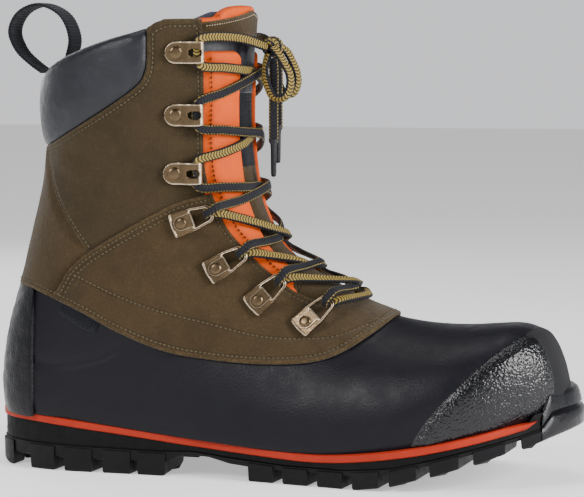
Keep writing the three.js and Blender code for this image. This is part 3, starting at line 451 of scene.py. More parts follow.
# ------------------------------------------------------------------ meshes
def mesh_object(name, points, faces, look, body="boot", sharp=50.0):
    mesh = bpy.data.meshes.new(name)
    mesh.from_pydata((np.asarray(points) * MM).tolist(), [], faces)
    mesh.validate()
    mesh.shade_smooth()
    mesh.set_sharp_from_angle(angle=math.radians(sharp))
    obj = bpy.data.objects.new(name, mesh)
    bpy.context.scene.collection.objects.link(obj)
    mesh.materials.append(LOOKS[look])
    if body:
        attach(obj, body)
    return obj


def attribute(obj, name, values):
    layer = obj.data.attributes.new(name, "FLOAT", "POINT")
    layer.data.foreach_set("value", np.asarray(values, np.float32))


def border(faces):
    """The edges with a face on one side only, in that face's direction."""
    seen = {}
    for face in faces:
        for i, j in zip(face, face[1:] + face[:1]):
            if (j, i) in seen:
                del seen[(j, i)]
            else:
                seen[(i, j)] = True
    return list(seen)


def solid(name, net, outer, inner, look, lifts=(0.0, 0.0)):
    """A closed piece between two heights over a net, with a wall round its border."""
    count = len(net.t)
    out = surface(net.t, net.a, outer, lifts[0])
    points = np.concatenate([out, surface(net.t, net.a, inner, lifts[1])])
    a, b, c = (out[[f[k] for f in net.faces]] for k in range(3))
    outward = (np.cross(b - a, c - a) * normals(net.t, net.a)[[f[0] for f in net.faces]]).sum() > 0
    shown = net.faces if outward else [f[::-1] for f in net.faces]
    faces = shown + [[i + count for i in f[::-1]] for f in shown]
    faces += [[j, i, i + count, j + count] for i, j in border(shown)]
    return mesh_object(name, points, faces, look)


def edge_roll(d, drop, radius):
    """How far the height falls towards an edge at distance 0, along a quarter circle."""
    return drop * (1 - np.sqrt(np.maximum(1 - (1 - np.clip(d / radius, 0, 1)) ** 2, 0)))


RINGS = (0.12, 0.4, 0.9, 1.7)  # where faces are split along an edge, so that it rolls evenly


def panel(name, look, t_range, density, edges, height, inner=0.3, angles=(-1.0, 1.0), relief=None,
          rings=RINGS, stitches=(), lifts=(0.0, 0.0), lap=LAP):
    """A piece of the upper. edges are (distance, kind): "over" lies on a tucked neighbour, "on" lies
    on the shell, "tuck" runs on under a neighbour, "roll" closes down and "butt" stops square."""
    rows = int(density * (t_range[1] - t_range[0])) + 1
    cols = int(8.5 * density * (angles[1] - angles[0])) + 1
    net = Net(t_range, rows, cols, angles)

    def distances():
        p, n = net.places()
        return [distance(p, n) for distance, _ in edges]

    def region(found):
        grown = [d + (lap if kind == "tuck" else 0) for d, (_, kind) in zip(found, edges)]
        return np.min(grown, 0)

    net.cut(region(distances()), 0, drop=True)
    for ring in rings:
        net.cut(region(distances()), ring)
    found = distances()
    outer = np.full(len(net.t), float(height))
    under = np.full(len(net.t), float(inner))
    for d, (_, kind) in zip(found, edges):
        if kind == "over":
            outer -= edge_roll(d, 1.1, 1.0)
            under = np.maximum(under, inner + (TUCKED + 0.1 - inner) * (1 - smoothstep(d, 4.5, 7)))
        elif kind == "on":
            outer -= edge_roll(d, min(1.1, height), 1.0)
        elif kind == "tuck":
            outer = np.minimum(outer, TUCKED + (height - TUCKED) * smoothstep(d, 0, 5.5))
        elif kind == "roll":
            outer -= edge_roll(d, height - inner - 0.2, 1.7)
    free = region(found)
    if relief:
        outer += relief(net, found, free)
    piece = solid(name, net, outer, under, look, lifts)
    attribute(piece, "edge", np.tile(free, 2))
    # Signed distance to the nearest stitch row. The nubuck sinks a groove along it and darkens that groove as
    # painted shade.
    seam = np.full(len(net.t), 50.0)
    for row in stitches:
        values = row["distance"](*net.places())
        gap = row.get("turn", 1) * (values - row["at"])
        seam = np.where(np.abs(gap) < np.abs(seam), gap, seam)
        runs = []
        for t, a in net.lines(values, row["at"]):
            p, n = surface(t, a), normals(t, a)
            clear = [d(p, n) > gap for d, gap in row.get("clear", ())]
            keep = np.all(clear, 0) if clear else np.ones(len(t), bool)
            for part in np.split(np.arange(len(t)), np.flatnonzero(~keep)):
                part = part[keep[part]]
                if len(part) > 2:
                    runs.append((surface(t[part], a[part], height + row.get("lift", 0.0)), n[part]))
        if runs:
            stitching(f"{name}_{row['name']}", runs, row["look"], piece, row.get("size", 1.0))
    attribute(piece, "seam", np.tile(seam, 2))
    return piece, net


def resample(points, step, extras=()):
    """Points every step along a polyline, with other per-point arrays carried along."""
    run = np.append(0, np.linalg.norm(np.diff(points, axis=0), axis=1).cumsum())
    count = max(int(round(run[-1] / step)), 1)
    at = (np.arange(count + 1)) * run[-1] / count
    pick = lambda values: np.stack([np.interp(at, run, v) for v in np.asarray(values).T], -1)
    return [pick(points)] + [pick(extra) for extra in extras] + [at]


def unit(v):
    return v / np.maximum(np.linalg.norm(v, axis=-1, keepdims=True), 1e-9)


def stitching(name, runs, look, parent, size=1.0):
    """Short raised threads along runs of points with their normals."""
    points, faces = [], []
    pitch, length, radius = size * PITCH, size * STITCH, size * THREAD_RADIUS
    ring = np.arange(6) * np.pi / 3
    profile = [(-0.5, 0.25, -0.35), (-0.28, 0.95, 0.1), (0.28, 0.95, 0.1), (0.5, 0.25, -0.35)]
    for line, out in runs:
        p, n, _ = resample(line, pitch, [out])
        ahead, up = unit(np.diff(p, axis=0)), unit(0.5 * (n[1:] + n[:-1]))
        across = unit(np.cross(up, ahead))
        middle = 0.5 * (p[1:] + p[:-1])
        for m, x, y, z in zip(middle, ahead, across, up):
            base = len(points)
            for along, girth, rise in profile:
                centre = m + x * along * length + z * rise * radius
                for c, s in zip(np.cos(ring), np.sin(ring)):
                    points.append(centre + radius * girth * (y * c * 1.15 + z * s))
            for k in range(3):
                for i in range(6):
                    j = (i + 1) % 6
                    quad = [base + 6 * k + i, base + 6 * k + j, base + 6 * k + 6 + j, base + 6 * k + 6 + i]
                    faces.append(quad)
            faces.append([base + i for i in reversed(range(6))])
            faces.append([base + 18 + i for i in range(6)])
    obj = mesh_object(name, points, faces, look, body=None, sharp=80)
    obj.parent = parent
    return obj


def loft(name, rings, look, body="boot", closed=False, sharp=50.0):
    """A skin over equal rings of points, with capped ends."""
    rings = np.asarray(rings)
    count, size = rings.shape[:2]
    faces = []
    for k in range(count if closed else count - 1):
        for i in range(size):
            a, b = k * size, ((k + 1) % count) * size
            j = (i + 1) % size
            faces.append([a + i, a + j, b + j, b + i])
    if not closed:
        faces += [list(reversed(range(size))), [(count - 1) * size + i for i in range(size)]]
    return mesh_object(name, rings.reshape(-1, 3), faces, look, body, sharp)


# ------------------------------------------------------------------ materials
class Look:
    """A node material that is built up step by step on one shader."""

    def __init__(self, name, colour, roughness, metallic=0.0, sheen=0.0, coat=0.0, specular=0.5):
        self.material = bpy.data.materials.new(name)
        self.material.use_nodes = True
        self.tree = self.material.node_tree
        self.shader = self.tree.nodes["Principled BSDF"]
        values = {"Base Color": (*colour, 1), "Roughness": roughness, "Metallic": metallic,
                  "Sheen Weight": sheen, "Coat Weight": coat, "Specular IOR Level": specular}
        for socket, value in values.items():
            self.shader.inputs[socket].default_value = value
        self.colour = None
        self.base = (*colour, 1)
        self.height = None

    def node(self, kind, inputs=(), **settings):
        made = self.tree.nodes.new(kind)
        for key, value in settings.items():
            setattr(made, key, value)
        for socket, value in dict(inputs).items():
            if isinstance(value, bpy.types.NodeSocket):
                self.tree.links.new(value, made.inputs[socket])
            else:
                made.inputs[socket].default_value = value
        return made

    def place(self, scale=(1, 1, 1)):
        where = self.node("ShaderNodeTexCoord").outputs["Object"]
        return self.node("ShaderNodeMapping", {"Vector": where, "Scale": scale}).outputs[0]

    def noise(self, size, detail=4.0, rough=0.55, stretch=(1, 1, 1)):
        """Noise whose blotches are about size millimetres across."""
        return self.node("ShaderNodeTexNoise", {"Vector": self.place(scale=stretch),
                         "Scale": 1 / (size * MM), "Detail": detail, "Roughness": rough}).outputs["Fac"]

    def cells(self, size, feature="F1"):
        return self.node("ShaderNodeTexVoronoi", {"Vector": self.place(), "Scale": 1 / (size * MM)},
                         feature=feature).outputs["Distance"]

    def math(self, operation, a, b=0.0, clamp=False):
        return self.node("ShaderNodeMath", {0: a, 1: b}, operation=operation, use_clamp=clamp).outputs[0]

    def between(self, value, low, high, to_low=0.0, to_high=1.0):
        inputs = {"Value": value, "From Min": low, "From Max": high, "To Min": to_low, "To Max": to_high}
        return self.node("ShaderNodeMapRange", inputs, interpolation_type="SMOOTHSTEP").outputs[0]

    def tint(self, factor, colour):
        """Mixes another colour in by a factor."""
        made = self.node("ShaderNodeMix", {"Factor": factor, 7: (*colour, 1)}, data_type="RGBA")
        if self.colour is None:
            made.inputs[6].default_value = self.base
        else:
            self.tree.links.new(self.colour, made.inputs[6])
        self.colour = made.outputs[2]
        return self

    def rise(self, height, amount):
        """Adds to the bump height, in millimetres."""
        term = self.math("MULTIPLY", height, amount * MM)
        self.height = term if self.height is None else self.math("ADD", self.height, term)
        return self

    def rough(self, factor, low, high):
        self.tree.links.new(self.between(factor, 0.25, 0.75, low, high), self.shader.inputs["Roughness"])
        return self

    def done(self):
        if self.colour is not None:
            self.tree.links.new(self.colour, self.shader.inputs["Base Color"])
        if self.height is not None:
            bump = self.node("ShaderNodeBump", {"Height": self.height, "Distance": 1.0, "Strength": 1.0})
            self.tree.links.new(bump.outputs[0], self.shader.inputs["Normal"])
        return self.material


def nubuck(name, colour, light, dark):
    look = Look(name, colour, 0.92, sheen=0.12, specular=0.2)
    look.tint(look.between(look.noise(22, 3), 0.42, 0.68, 0, 0.55), dark)
    look.tint(look.between(look.noise(5, 5, 0.65), 0.5, 0.72, 0, 0.4), light)
    nap = look.noise(0.7, 3, 0.7)
    look.tint(look.between(nap, 0.42, 0.58, 0.6, 0), dark)
    look.tint(look.between(look.noise(1.1, 2, 0.7), 0.58, 0.7, 0, 0.45), light)
    edge = look.node("ShaderNodeAttribute", attribute_name="edge").outputs["Fac"]
    patches = (look.between(edge, 0.4, 3.4, 1, 0), look.between(look.noise(1.1, 2), 0.45, 0.6))
    fibres = look.math("MULTIPLY", *patches)
    look.tint(look.math("MULTIPLY", fibres, 0.4), tuple(1.5 * c for c in light))
    look.rise(nap, 0.32).rise(look.noise(3, 4), 0.35)
    seam = look.math("ABSOLUTE", look.node("ShaderNodeAttribute", attribute_name="seam").outputs["Fac"])
    # Painted shade: darker within about 1.5 mm of each stitch row, standing for the shade in the stitch
    # groove that the bump sinks.
    look.tint(look.between(seam, 0.1, 1.5, 0.4, 0), dark).rise(look.between(seam, 0, 1.3), 0.45)
    return look.done()


def grained_rubber(name, colour, roughness, grain, depth, coat=0.0):
    look = Look(name, colour, roughness, coat=coat, specular=0.18)
    soft = look.noise(35, 3)
    look.tint(look.between(soft, 0.4, 0.7, 0, 0.5), tuple(c * 1.35 for c in colour))
    look.rise(look.cells(grain, "F1"), -depth).rise(look.noise(0.45, 2), 0.5 * depth)
    look.rough(look.noise(9, 4), roughness - 0.06, roughness + 0.08)
    return look.done()


def pebbled_rubber():
    look = Look("toe_cap_rubber", (0.0035, 0.0035, 0.005), 0.26, specular=0.45)
    pebbles = look.node("ShaderNodeTexVoronoi", {"Vector": look.place(), "Scale": 1 / (1.25 * MM),
                        "Smoothness": 0.6}, feature="SMOOTH_F1").outputs["Distance"]
    smooth = look.node("ShaderNodeAttribute", attribute_name="smooth_front").outputs["Fac"]
    grain = look.math("SUBTRACT", 1.0, smooth)
    look.rise(look.math("MULTIPLY", pebbles, grain), -0.36)
    look.rise(look.math("MULTIPLY", look.noise(1.0, 3), grain), 0.16)
    # Painted shade: darker in the hollows between the pebbles, where the bump sinks.
    look.tint(look.between(pebbles, 0.3, 0.75, 0, 0.6), (0.003, 0.003, 0.004))
    look.rough(smooth, 0.25, 0.9)
    return look.done()


def pad_leather():
    look = Look("pad_leather", (0.0045, 0.005, 0.0088), 0.36, specular=0.42)
    look.rise(look.cells(0.9, "DISTANCE_TO_EDGE"), 0.12).rise(look.noise(7, 3), 0.5)
    look.tint(look.between(look.noise(14, 4), 0.45, 0.7, 0, 0.5), (0.012, 0.013, 0.02))
    look.rough(look.noise(4, 5), 0.34, 0.5)
    return look.done()


def orange_leather():
    look = Look("orange_leather", (0.68, 0.085, 0.003), 0.66, specular=0.15)
    look.tint(look.between(look.noise(11, 4), 0.4, 0.7, 0, 0.5), (0.55, 0.06, 0.003))
    grain = look.cells(0.8, "DISTANCE_TO_EDGE")
    look.tint(look.between(grain, 0.0, 0.08, 0.35, 0), (0.45, 0.06, 0.01))
    look.rise(grain, 0.14).rise(look.noise(2.5, 4), 0.25)
    edge = look.node("ShaderNodeAttribute", attribute_name="edge").outputs["Fac"]
    look.tint(look.between(edge, 0, 1.6, 0.45, 0), (0.3, 0.04, 0.008))
    look.rough(look.noise(3, 4), 0.5, 0.7)
    return look.done()


def weave(name, colour, light, size):
    """Woven cloth: two crossed sets of yarns."""
    look = Look(name, colour, 0.85, sheen=0.08, specular=0.18)
    parts = look.node("ShaderNodeSeparateXYZ", {0: look.place()})
    turns = 2 * math.pi / (size * MM)
    waves = [look.math("SINE", look.math("MULTIPLY", parts.outputs[k], turns)) for k in range(3)]
    cross = look.math("MULTIPLY", look.math("ADD", waves[0], waves[1]), waves[2])
    look.tint(look.between(cross, -0.6, 1.2, 0, 0.7), light)
    look.tint(look.between(look.noise(1.2, 3), 0.45, 0.7, 0, 0.4), tuple(0.5 * c for c in colour))
    look.rise(cross, 0.08).rise(look.noise(0.5, 2), 0.12)
    return look.done()


def aged_brass():
    look = Look("aged_brass", (0.125, 0.085, 0.047), 0.34, metallic=0.95)
    look.tint(look.between(look.noise(3.5, 4, 0.6), 0.45, 0.65, 0, 0.4), (0.07, 0.046, 0.025))
    worn = look.node("ShaderNodeAttribute", attribute_name="worn").outputs["Fac"]
    scuffs = look.between(look.noise(1.5, 3), 0.3, 0.6, 0.5, 1)
    look.tint(look.math("MULTIPLY", worn, scuffs), (0.62, 0.5, 0.36))
    look.rise(look.noise(0.5, 2), 0.008)
    look.rough(look.noise(1.6, 5), 0.24, 0.42)
    return look.done()


def braid_look():
    """Flat braid: u runs along it in millimetres, v once round it. One face is olive, one black."""
    look = Look("lace_braid", (0.005, 0.005, 0.0075), 0.6, sheen=0.04, specular=0.2)
    u, v, _ = look.node("ShaderNodeSeparateXYZ",
                        {0: look.node("ShaderNodeTexCoord").outputs["UV"]}).outputs
    angle = look.math("MULTIPLY", v, 2 * math.pi)
    across = look.math("ABSOLUTE", look.math("COSINE", angle))
    face = look.math("SINE", angle)
    slant = look.math("ADD", look.math("MULTIPLY", u, 1.0), look.math("MULTIPLY", across, 1.5))
    yarn = look.math("SINE", look.math("MULTIPLY", slant, 2 * math.pi / 1.75))
    olive_band = look.between(across, 0.62, 0.72, 1, 0)
    olive_face = look.math("MULTIPLY", look.between(face, 0.0, 0.1), olive_band)
    line = look.math("MULTIPLY", look.between(across, 0.68, 0.76), look.between(across, 0.86, 0.93, 1, 0))
    dark_face = look.math("MULTIPLY", look.between(face, -0.1, 0.0, 1, 0), line)
    olive = look.math("ADD", olive_face, dark_face, True)
    flecks = look.between(yarn, -0.55, 0.45, 0.1, 1)
    look.tint(look.math("MULTIPLY", olive, flecks), (0.3, 0.205, 0.04))
    look.tint(look.math("MULTIPLY", look.between(yarn, 0.5, 1.0, 0, 0.25), look.math("SUBTRACT", 1.0, olive)),
              (0.02, 0.023, 0.036))
    look.rise(yarn, 0.12).rise(look.noise(0.4, 2), 0.08)
    return look.done()


def thread(name, colour):
    look = Look(name, colour, 0.7, sheen=0.05, specular=0.2)
    look.tint(look.between(look.noise(0.6, 2), 0.4, 0.65, 0, 0.6), tuple(0.45 * c for c in colour))
    look.rise(look.noise(0.35, 2), 0.1)
    return look.done()


def moulded(name, colour, roughness, light=None, specular=0.3):
    look = Look(name, colour, roughness, specular=specular)
    look.tint(look.between(look.noise(12, 5), 0.4, 0.7, 0, 0.6), light or tuple(1.7 * c for c in colour))
    look.rise(look.noise(0.6, 3), 0.08).rise(look.noise(5, 3), 0.18)
    look.rough(look.noise(4, 4), roughness - 0.1, roughness + 0.1)
    return look.done()


def felt(name, colour):
    look = Look(name, colour, 1.0, sheen=0.5, specular=0.1)
    fibre = look.noise(0.8, 6, 0.8, (1, 1, 3))
    look.tint(look.between(fibre, 0.4, 0.65, 0, 0.6), tuple(0.55 * c for c in colour))
    look.rise(fibre, 0.5).rise(look.noise(6, 3), 0.4)
    return look.done()


LOOKS = {
    "nubuck": nubuck("nubuck", (0.05, 0.031, 0.0115), (0.08, 0.052, 0.021), (0.027, 0.017, 0.006)),
    "quarter": nubuck("nubuck_shaft", (0.042, 0.0275, 0.0105), (0.066, 0.046, 0.019), (0.023, 0.015, 0.006)),
    "rear": nubuck("nubuck_rear", (0.052, 0.0325, 0.0125), (0.081, 0.053, 0.022), (0.028, 0.0175, 0.007)),
    "shell": grained_rubber("shell_rubber", (0.0052, 0.005, 0.0076), 0.42, 1.1, 0.07),
    "overlay": grained_rubber("heel_rubber", (0.0036, 0.0036, 0.0052), 0.34, 1.6, 0.16, 0.08),
    "cap": pebbled_rubber(),
    "bumper": moulded("bumper_rubber", (0.0045, 0.0045, 0.006), 0.32, (0.009, 0.009, 0.012)),
    "sole": moulded("sole_rubber", (0.003, 0.003, 0.0036), 0.5, specular=0.16),
    "midsole": moulded("midsole_rubber", (0.0024, 0.0024, 0.0026), 0.6, specular=0.14),
    "welt": moulded("welt_rubber", (0.36, 0.022, 0.006), 0.55, (0.29, 0.018, 0.005), 0.2),
    "pad": pad_leather(),
    "orange": orange_leather(),
    "webbing": weave("ribbed_webbing", (0.0045, 0.005, 0.0075), (0.012, 0.013, 0.019), 1.3),
    "brass": aged_brass(),
    "lace": braid_look(),
    "tip": moulded("lace_tip", (0.008, 0.008, 0.01), 0.35),
    "lining": weave("lining_cloth", (0.02, 0.023, 0.034), (0.05, 0.055, 0.075), 1.6),
    "felt": felt("wool_felt", (0.55, 0.52, 0.45)),
    "board": felt("fibre_board", (0.36, 0.27, 0.16)),
    "steel": moulded("spring_steel", (0.4, 0.41, 0.43), 0.35),
    "stiffener": moulded("stiffener", (0.42, 0.34, 0.23), 0.6),
    "footbed": felt("footbed_felt", (0.09, 0.1, 0.12)),
    "thread_dark": thread("thread_dark", (0.07, 0.022, 0.008)),
    "thread_olive": thread("thread_olive", (0.1, 0.078, 0.04)),
    "thread_cream": thread("thread_cream", (0.42, 0.36, 0.24)),
    "thread_black": thread("thread_black", (0.012, 0.012, 0.014)),
}


# ------------------------------------------------------------------ camera, light and floor
def aim(obj, position, target):
    obj.location = Vector(position) * MM
    obj.rotation_euler = (Vector(target) - Vector(position)).to_track_quat("-Z", "Y").to_euler()
    bpy.context.scene.collection.objects.link(obj)


def make_camera():
    turn, rise, far = math.radians(16), math.radians(4.4), 1300
    target = Vector((0, 0, 125))
    back = Vector((math.sin(turn) * math.cos(rise), -math.cos(turn) * math.cos(rise), math.sin(rise)))
    camera = bpy.data.objects.new("camera", bpy.data.cameras.new("camera"))
    camera.data.lens = 147.8
    camera.data.shift_x = 4 / 584
    camera.data.shift_y = -9 / 584
    aim(camera, target + far * back, target)
    bpy.context.scene.camera = camera


def area_light(name, position, size, power):
    data = bpy.data.lights.new(name, "AREA")
    data.shape = "RECTANGLE"
    data.size, data.size_y = size
    data.energy = power
    aim(bpy.data.objects.new(name, data), position, (0, 0, 110))


def make_studio():
    area_light("key", (-650, -1150, 950), (0.6, 0.6), 16)
    area_light("toe_softbox", (1450, -380, 700), (0.6, 0.7), 38)
    area_light("top", (-100, 150, 1300), (0.8, 0.6), 5)
    area_light("back", (-1000, 900, 600), (0.6, 0.9), 5)
    world = bpy.data.worlds.new("studio")
    bpy.context.scene.world = world
    world.use_nodes = True
    nodes, links = world.node_tree.nodes, world.node_tree.links
    background = nodes["Background"]
    background.inputs["Color"].default_value = (0.96, 0.97, 1, 1)
    height = nodes.new("ShaderNodeSeparateXYZ")
    fade = nodes.new("ShaderNodeMapRange")
    links.new(nodes.new("ShaderNodeTexCoord").outputs["Generated"], height.inputs[0])
    links.new(height.outputs["Z"], fade.inputs["Value"])
    for key, value in (("From Min", 0.16), ("From Max", 0.4), ("To Min", 0.9), ("To Max", 0.14)):
        fade.inputs[key].default_value = value
    links.new(fade.outputs["Result"], background.inputs["Strength"])
    half = 6000
    mesh = bpy.data.meshes.new("floor")
    corners = [(-half, -half, 0), (half, -half, 0), (half, half, 0), (-half, half, 0)]
    mesh.from_pydata([Vector(c) * MM for c in corners], [], [[0, 1, 2, 3]])
    floor = bpy.data.objects.new("floor", mesh)
    bpy.context.scene.collection.objects.link(floor)
    paint = Look("pale_floor", (0.93, 0.93, 0.93), 0.8, specular=0.1)
    paint.tint(paint.between(paint.noise(300, 2), 0.4, 0.7, 0, 0.3), (0.91, 0.91, 0.91))
    paint.shader.inputs["Emission Color"].default_value = (1, 1, 1, 1)
    paint.shader.inputs["Emission Strength"].default_value = 0.5
    mesh.materials.append(paint.done())


# ------------------------------------------------------------------ laces
def smooth_path(points, step, extras=(), closed=False):
    """A centripetal spline through points, resampled evenly, with extra values carried along."""
    p = np.array(points, float)
    extras = [np.array(e, float) for e in extras]
    if closed:
        order = np.r_[-1, np.arange(len(p)), 0, 1]
        p, extras = p[order], [e[order] for e in extras]
    else:
        p = np.concatenate([[2 * p[0] - p[1]], p, [2 * p[-1] - p[-2]]])
        extras = [np.concatenate([e[:1], e, e[-1:]]) for e in extras]
    line, carried = [], [[] for _ in extras]
    for i in range(1, len(p) - 2):
        knots = np.append(0, np.sqrt(np.linalg.norm(np.diff(p[i - 1:i + 3], axis=0), axis=1)).cumsum())
        t = np.linspace(knots[1], knots[2], 13)[:-1, None]
        a = [((knots[k + 1] - t) * p[i - 1 + k] + (t - knots[k]) * p[i + k]) / (knots[k + 1] - knots[k])
             for k in range(3)]
        b = [((knots[k + 2] - t) * a[k] + (t - knots[k]) * a[k + 1]) / (knots[k + 2] - knots[k])
             for k in range(2)]
        line.append(((knots[2] - t) * b[0] + (t - knots[1]) * b[1]) / (knots[2] - knots[1]))
        f = smoothstep((t - knots[1]) / (knots[2] - knots[1]), 0, 1)
        for e, out in zip(extras, carried):
            out.append(e[i] + f * (e[i + 1] - e[i]))
    line.append(p[-2][None])
    for e, out in zip(extras, carried):
        out.append(e[-2][None])
    return resample(np.concatenate(line), step, [np.concatenate(c) for c in carried])


def braid(name, points, outward, body="boot", closed=False, width=LACE_WIDTH, thick=LACE_THICK):
    """A flat oval braid along a path; outward gives the way its olive face turns at each point."""
    p, up, run = smooth_path(points, BRAID_STEP, [outward], closed)
    if closed:
        p, up, run = p[:-1], up[:-1], run[:-1]
        ahead = unit(np.roll(p, -1, axis=0) - np.roll(p, 1, axis=0))
    else:
        ahead = unit(np.gradient(p, axis=0))
    up = unit(up - (up * ahead).sum(1, keepdims=True) * ahead)
    across = np.cross(ahead, up)
    turns = 2 * np.pi * np.arange(20) / 20
    c, s = np.cos(turns), np.sin(turns)
    wide = 0.5 * width * np.sign(c) * np.abs(c) ** 0.8
    high = 0.5 * thick * np.sign(s) * np.abs(s) ** 0.75 * (1 - 0.1 * np.exp(-(c / 0.25) ** 2))
    weave_bump = 1 + 0.035 * np.sin(2 * np.pi * run[:, None] / 1.25 + 3 * np.abs(c)[None])
    rings = (p[:, None] + across[:, None] * (wide[None] * weave_bump)[..., None]
             + up[:, None] * (high[None] * weave_bump)[..., None])
    obj = loft(name, rings, "lace", body, closed, sharp=80)
    size, count = 20, len(p)
    layer = obj.data.uv_layers.new(name="UVMap")
    for polygon in obj.data.polygons:
        places = [divmod(v, size) for v in polygon.vertices]
        rows, cols = [r for r, _ in places], [k for _, k in places]
        for loop, row, col in zip(polygon.loop_indices, rows, cols):
            along = run[row] + (run[-1] + BRAID_STEP if closed and row == 0 and max(rows) == count - 1 else 0)
            turn = col + (size if col == 0 and max(cols) == size - 1 else 0)
            layer.data[loop].uv = (along, turn / size)
    return obj, p


OVER_BANDS = BAND + LACE_RADIUS + 1.8
OVER_FACE = 2 + LACE_RADIUS + 0.8
CROSSING = 2 * LACE_RADIUS + 0.8
KNOT = np.array([-9.7, 3, 229])
KNOT_SIZE = np.array([5.2, 7, 5])
EYELETS = HOOKS + LOOPS


def hook_frame(place, side):
    return surface_frame(*place, side, SEAT, 0)


def loop_frame(place, side, tilt):
    x, z, heading = place
    return surface_frame(x, z, side, SEAT + LOOP_LIFT, math.radians(heading), tilt)


def through_eyelet(i, side, face, natural=True):
    """The lace's points in one eyelet, the way its olive face turns at each, and its face after.
    A loop turns the lace over by itself and a hook doesn't, unless the lace is twisted there."""
    if i < len(HOOKS):
        frame = hook_frame(HOOKS[i], side)
        points = [(12.8, 7, 3.4), (11.2, 4.2, 2.6), (10.8, 0, 2.3), (11.2, -4.2, 2.6), (12.8, -7, 3.4)]
        facing = [(0, 0, 1)] * 5 if natural else [(0, 0, 1), (1, 0, 1), (1, 0, 0), (1, 0, -1), (0, 0, -1)]
        after = face if natural else -face
    else:
        frame = loop_frame(LOOPS[i - len(HOOKS)], side, 0)
        bar = LOOP_BAR * math.sin(LOOP_TILT) + 0.85
        x = LOOP_BAR * math.cos(LOOP_TILT)
        turn = 0.85 + LACE_RADIUS + 0.9
        near = 0.75 * turn
        points = [(x + 3.4, 1.6, bar + turn - 0.5), (x + 0.6, 0.9, bar + turn), (x - near, 0.4, bar + near),
                  (x - turn - 0.2, 0, bar), (x - near, -0.4, bar - near), (x + 0.6, -0.9, bar - turn),
                  (x + 3.4, -1.6, bar - turn + 0.4)]
        facing = [(0, 0, 1), (0, 0, 1), (-1, 0, 1), (-1, 0, 0)]
        if natural:
            facing += [(-1, 0, -1), (0, 0, -1), (0, 0, -1)]
        else:
            facing += [(-1, 0.6, -0.6), (-0.2, 1, 0), (0, 0.5, 1)]
        after = -face if natural else face
    spin = frame.to_3x3()
    placed = [frame @ Vector((x, -side * y, z)) for x, y, z in points]
    turned = [spin @ Vector(v).normalized() * face for v in facing]
    return placed, turned, after


def part_of_strand(start, end_z, side, share):
    """A point of the strand from an eyelet to the boot's middle, lying on the tongue's band."""
    _, angle = locate(start[0], start[2], OVER_BANDS)
    angle = side * angle * (1 - share)
    t = np.linspace(0, 20, 300)
    heights = surface(t, angle, OVER_BANDS)[:, 2]
    t = float(np.interp(-(start[2] + (end_z - start[2]) * share), -heights, t))
    return surface(t, angle, OVER_BANDS), normals(t, angle)


def over_middle(i, height):
    upper, _ = locate(*EYELETS[i][:2], height)
    lower = locate(*EYELETS[i + 1][:2], height)[0] if i + 1 < len(EYELETS) else upper + 0.3
    t = 0.5 * (upper + lower)
    return surface(t, 0, height), normals(t, 0)


def lace_half(start, face, twisted):
    """One half of the lace from the knot down, with the way its olive face turns."""
    points = [KNOT + (-1, start * (KNOT_SIZE[1] + 1), 0)]
    facing = [np.array([0.6, start * 0.6, 0.3])]
    side = start

    def add(place, sign):
        points.append(place[0])
        facing.append(place[1] * sign)

    for i in range(len(EYELETS)):
        placed, turned, after = through_eyelet(i, side, face, i not in twisted)
        if i == 0:
            add(part_of_strand(placed[0], placed[0][2] + 1.5, side, 0.5), face)
        else:
            middle = points[-1]
            add(part_of_strand(placed[0], middle[2], side, 0.62), face)
            add(part_of_strand(placed[0], middle[2], side, 0.3), face)
        points.extend(placed)
        facing.extend(turned)
        face = after
        if i == len(EYELETS) - 1:
            break
        upper = (i % 2 == 1) != (side == 1)
        middle = over_middle(i, OVER_FACE + (CROSSING if upper else 0))
        add(part_of_strand(placed[-1], middle[0][2], side, 0.3), face)
        add(part_of_strand(placed[-1], middle[0][2], side, 0.62), face)
        add(middle, face)
        side = -side
    return points, facing, face


BOW = {
    "lateral": [(-6.5, -5.9, 228.5), (-4, -7.5, 226.5), (-0.5, -8.6, 221.5), (3.5, -9.3, 214.5),
                (3.8, -9.6, 207.5), (0.5, -9.8, 202), (-4.8, -9.8, 202), (-8.6, -9.5, 208),
                (-10.2, -8.8, 216), (-9.8, -7.3, 222), (-9.2, -5.9, 225)],
    "medial": [(-6.5, 11.9, 228.5), (-4.5, 13.5, 226.5), (-2, 15, 221.5), (0.5, 16.3, 214.5),
               (0.3, 17, 208), (-2.6, 17.3, 203.5), (-7, 17.2, 204), (-9.6, 16.5, 209),
               (-10.4, 15.2, 216), (-9.8, 13.4, 222), (-9.2, 11.9, 225)],
}
LACE_END = {
    "lateral": [(-8.4, -0.4, 223), (-7.6, -1.2, 217), (-7.4, -1.8, 206), (-7.5, -2, 195),
                (-7.5, -2, 186), (-7.5, -2, 178)],
    "medial": [(-8.4, 6.4, 223), (-7.8, 7.4, 217), (-7.8, 8, 208), (-8, 8, 199), (-8, 8, 191),
               (-8, 8, 185)],
}
TIP_LENGTH = 19


def declare_cord(obj, path):
    run = float(np.linalg.norm(np.diff(path, axis=0), axis=1).sum())
    [tuple(p) for p in path * MM]


def make_laces():
    left, left_facing, last_face = lace_half(-1, 1, (2, 3))
    right, right_facing, _ = lace_half(1, -1, ())
    bar = over_middle(len(EYELETS) - 1, OVER_FACE)
    points = left + [bar[0]] + right[::-1]
    facing = left_facing + [last_face * bar[1]] + right_facing[::-1]
    lace, _ = braid("lace_laced", points, facing)
    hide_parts("lace")

    for name, _ in SIDES:
        loop = np.array(BOW[name])
        outward = 0.85 * unit(loop - loop.mean(0)) + (0.2, -0.62, 0.1)
        bow, path = braid(f"bow_{name}", loop, outward, f"bow_loop_{name}")
        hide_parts(f"bow_loop_{name}")
        declare_cord(bow, path)
        line = np.array(LACE_END[name])
        facing = [(-0.4, 1, 0)] * len(line)
        end, path = braid(f"end_{name}", line, facing, f"lace_end_{name}")
        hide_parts(f"lace_end_{name}")
        tip = lace_tip(f"tip_{name}", line[-1], f"lace_end_{name}")
        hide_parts(f"aglet_{name}")
        declare_cord(end, path)
    make_knot()


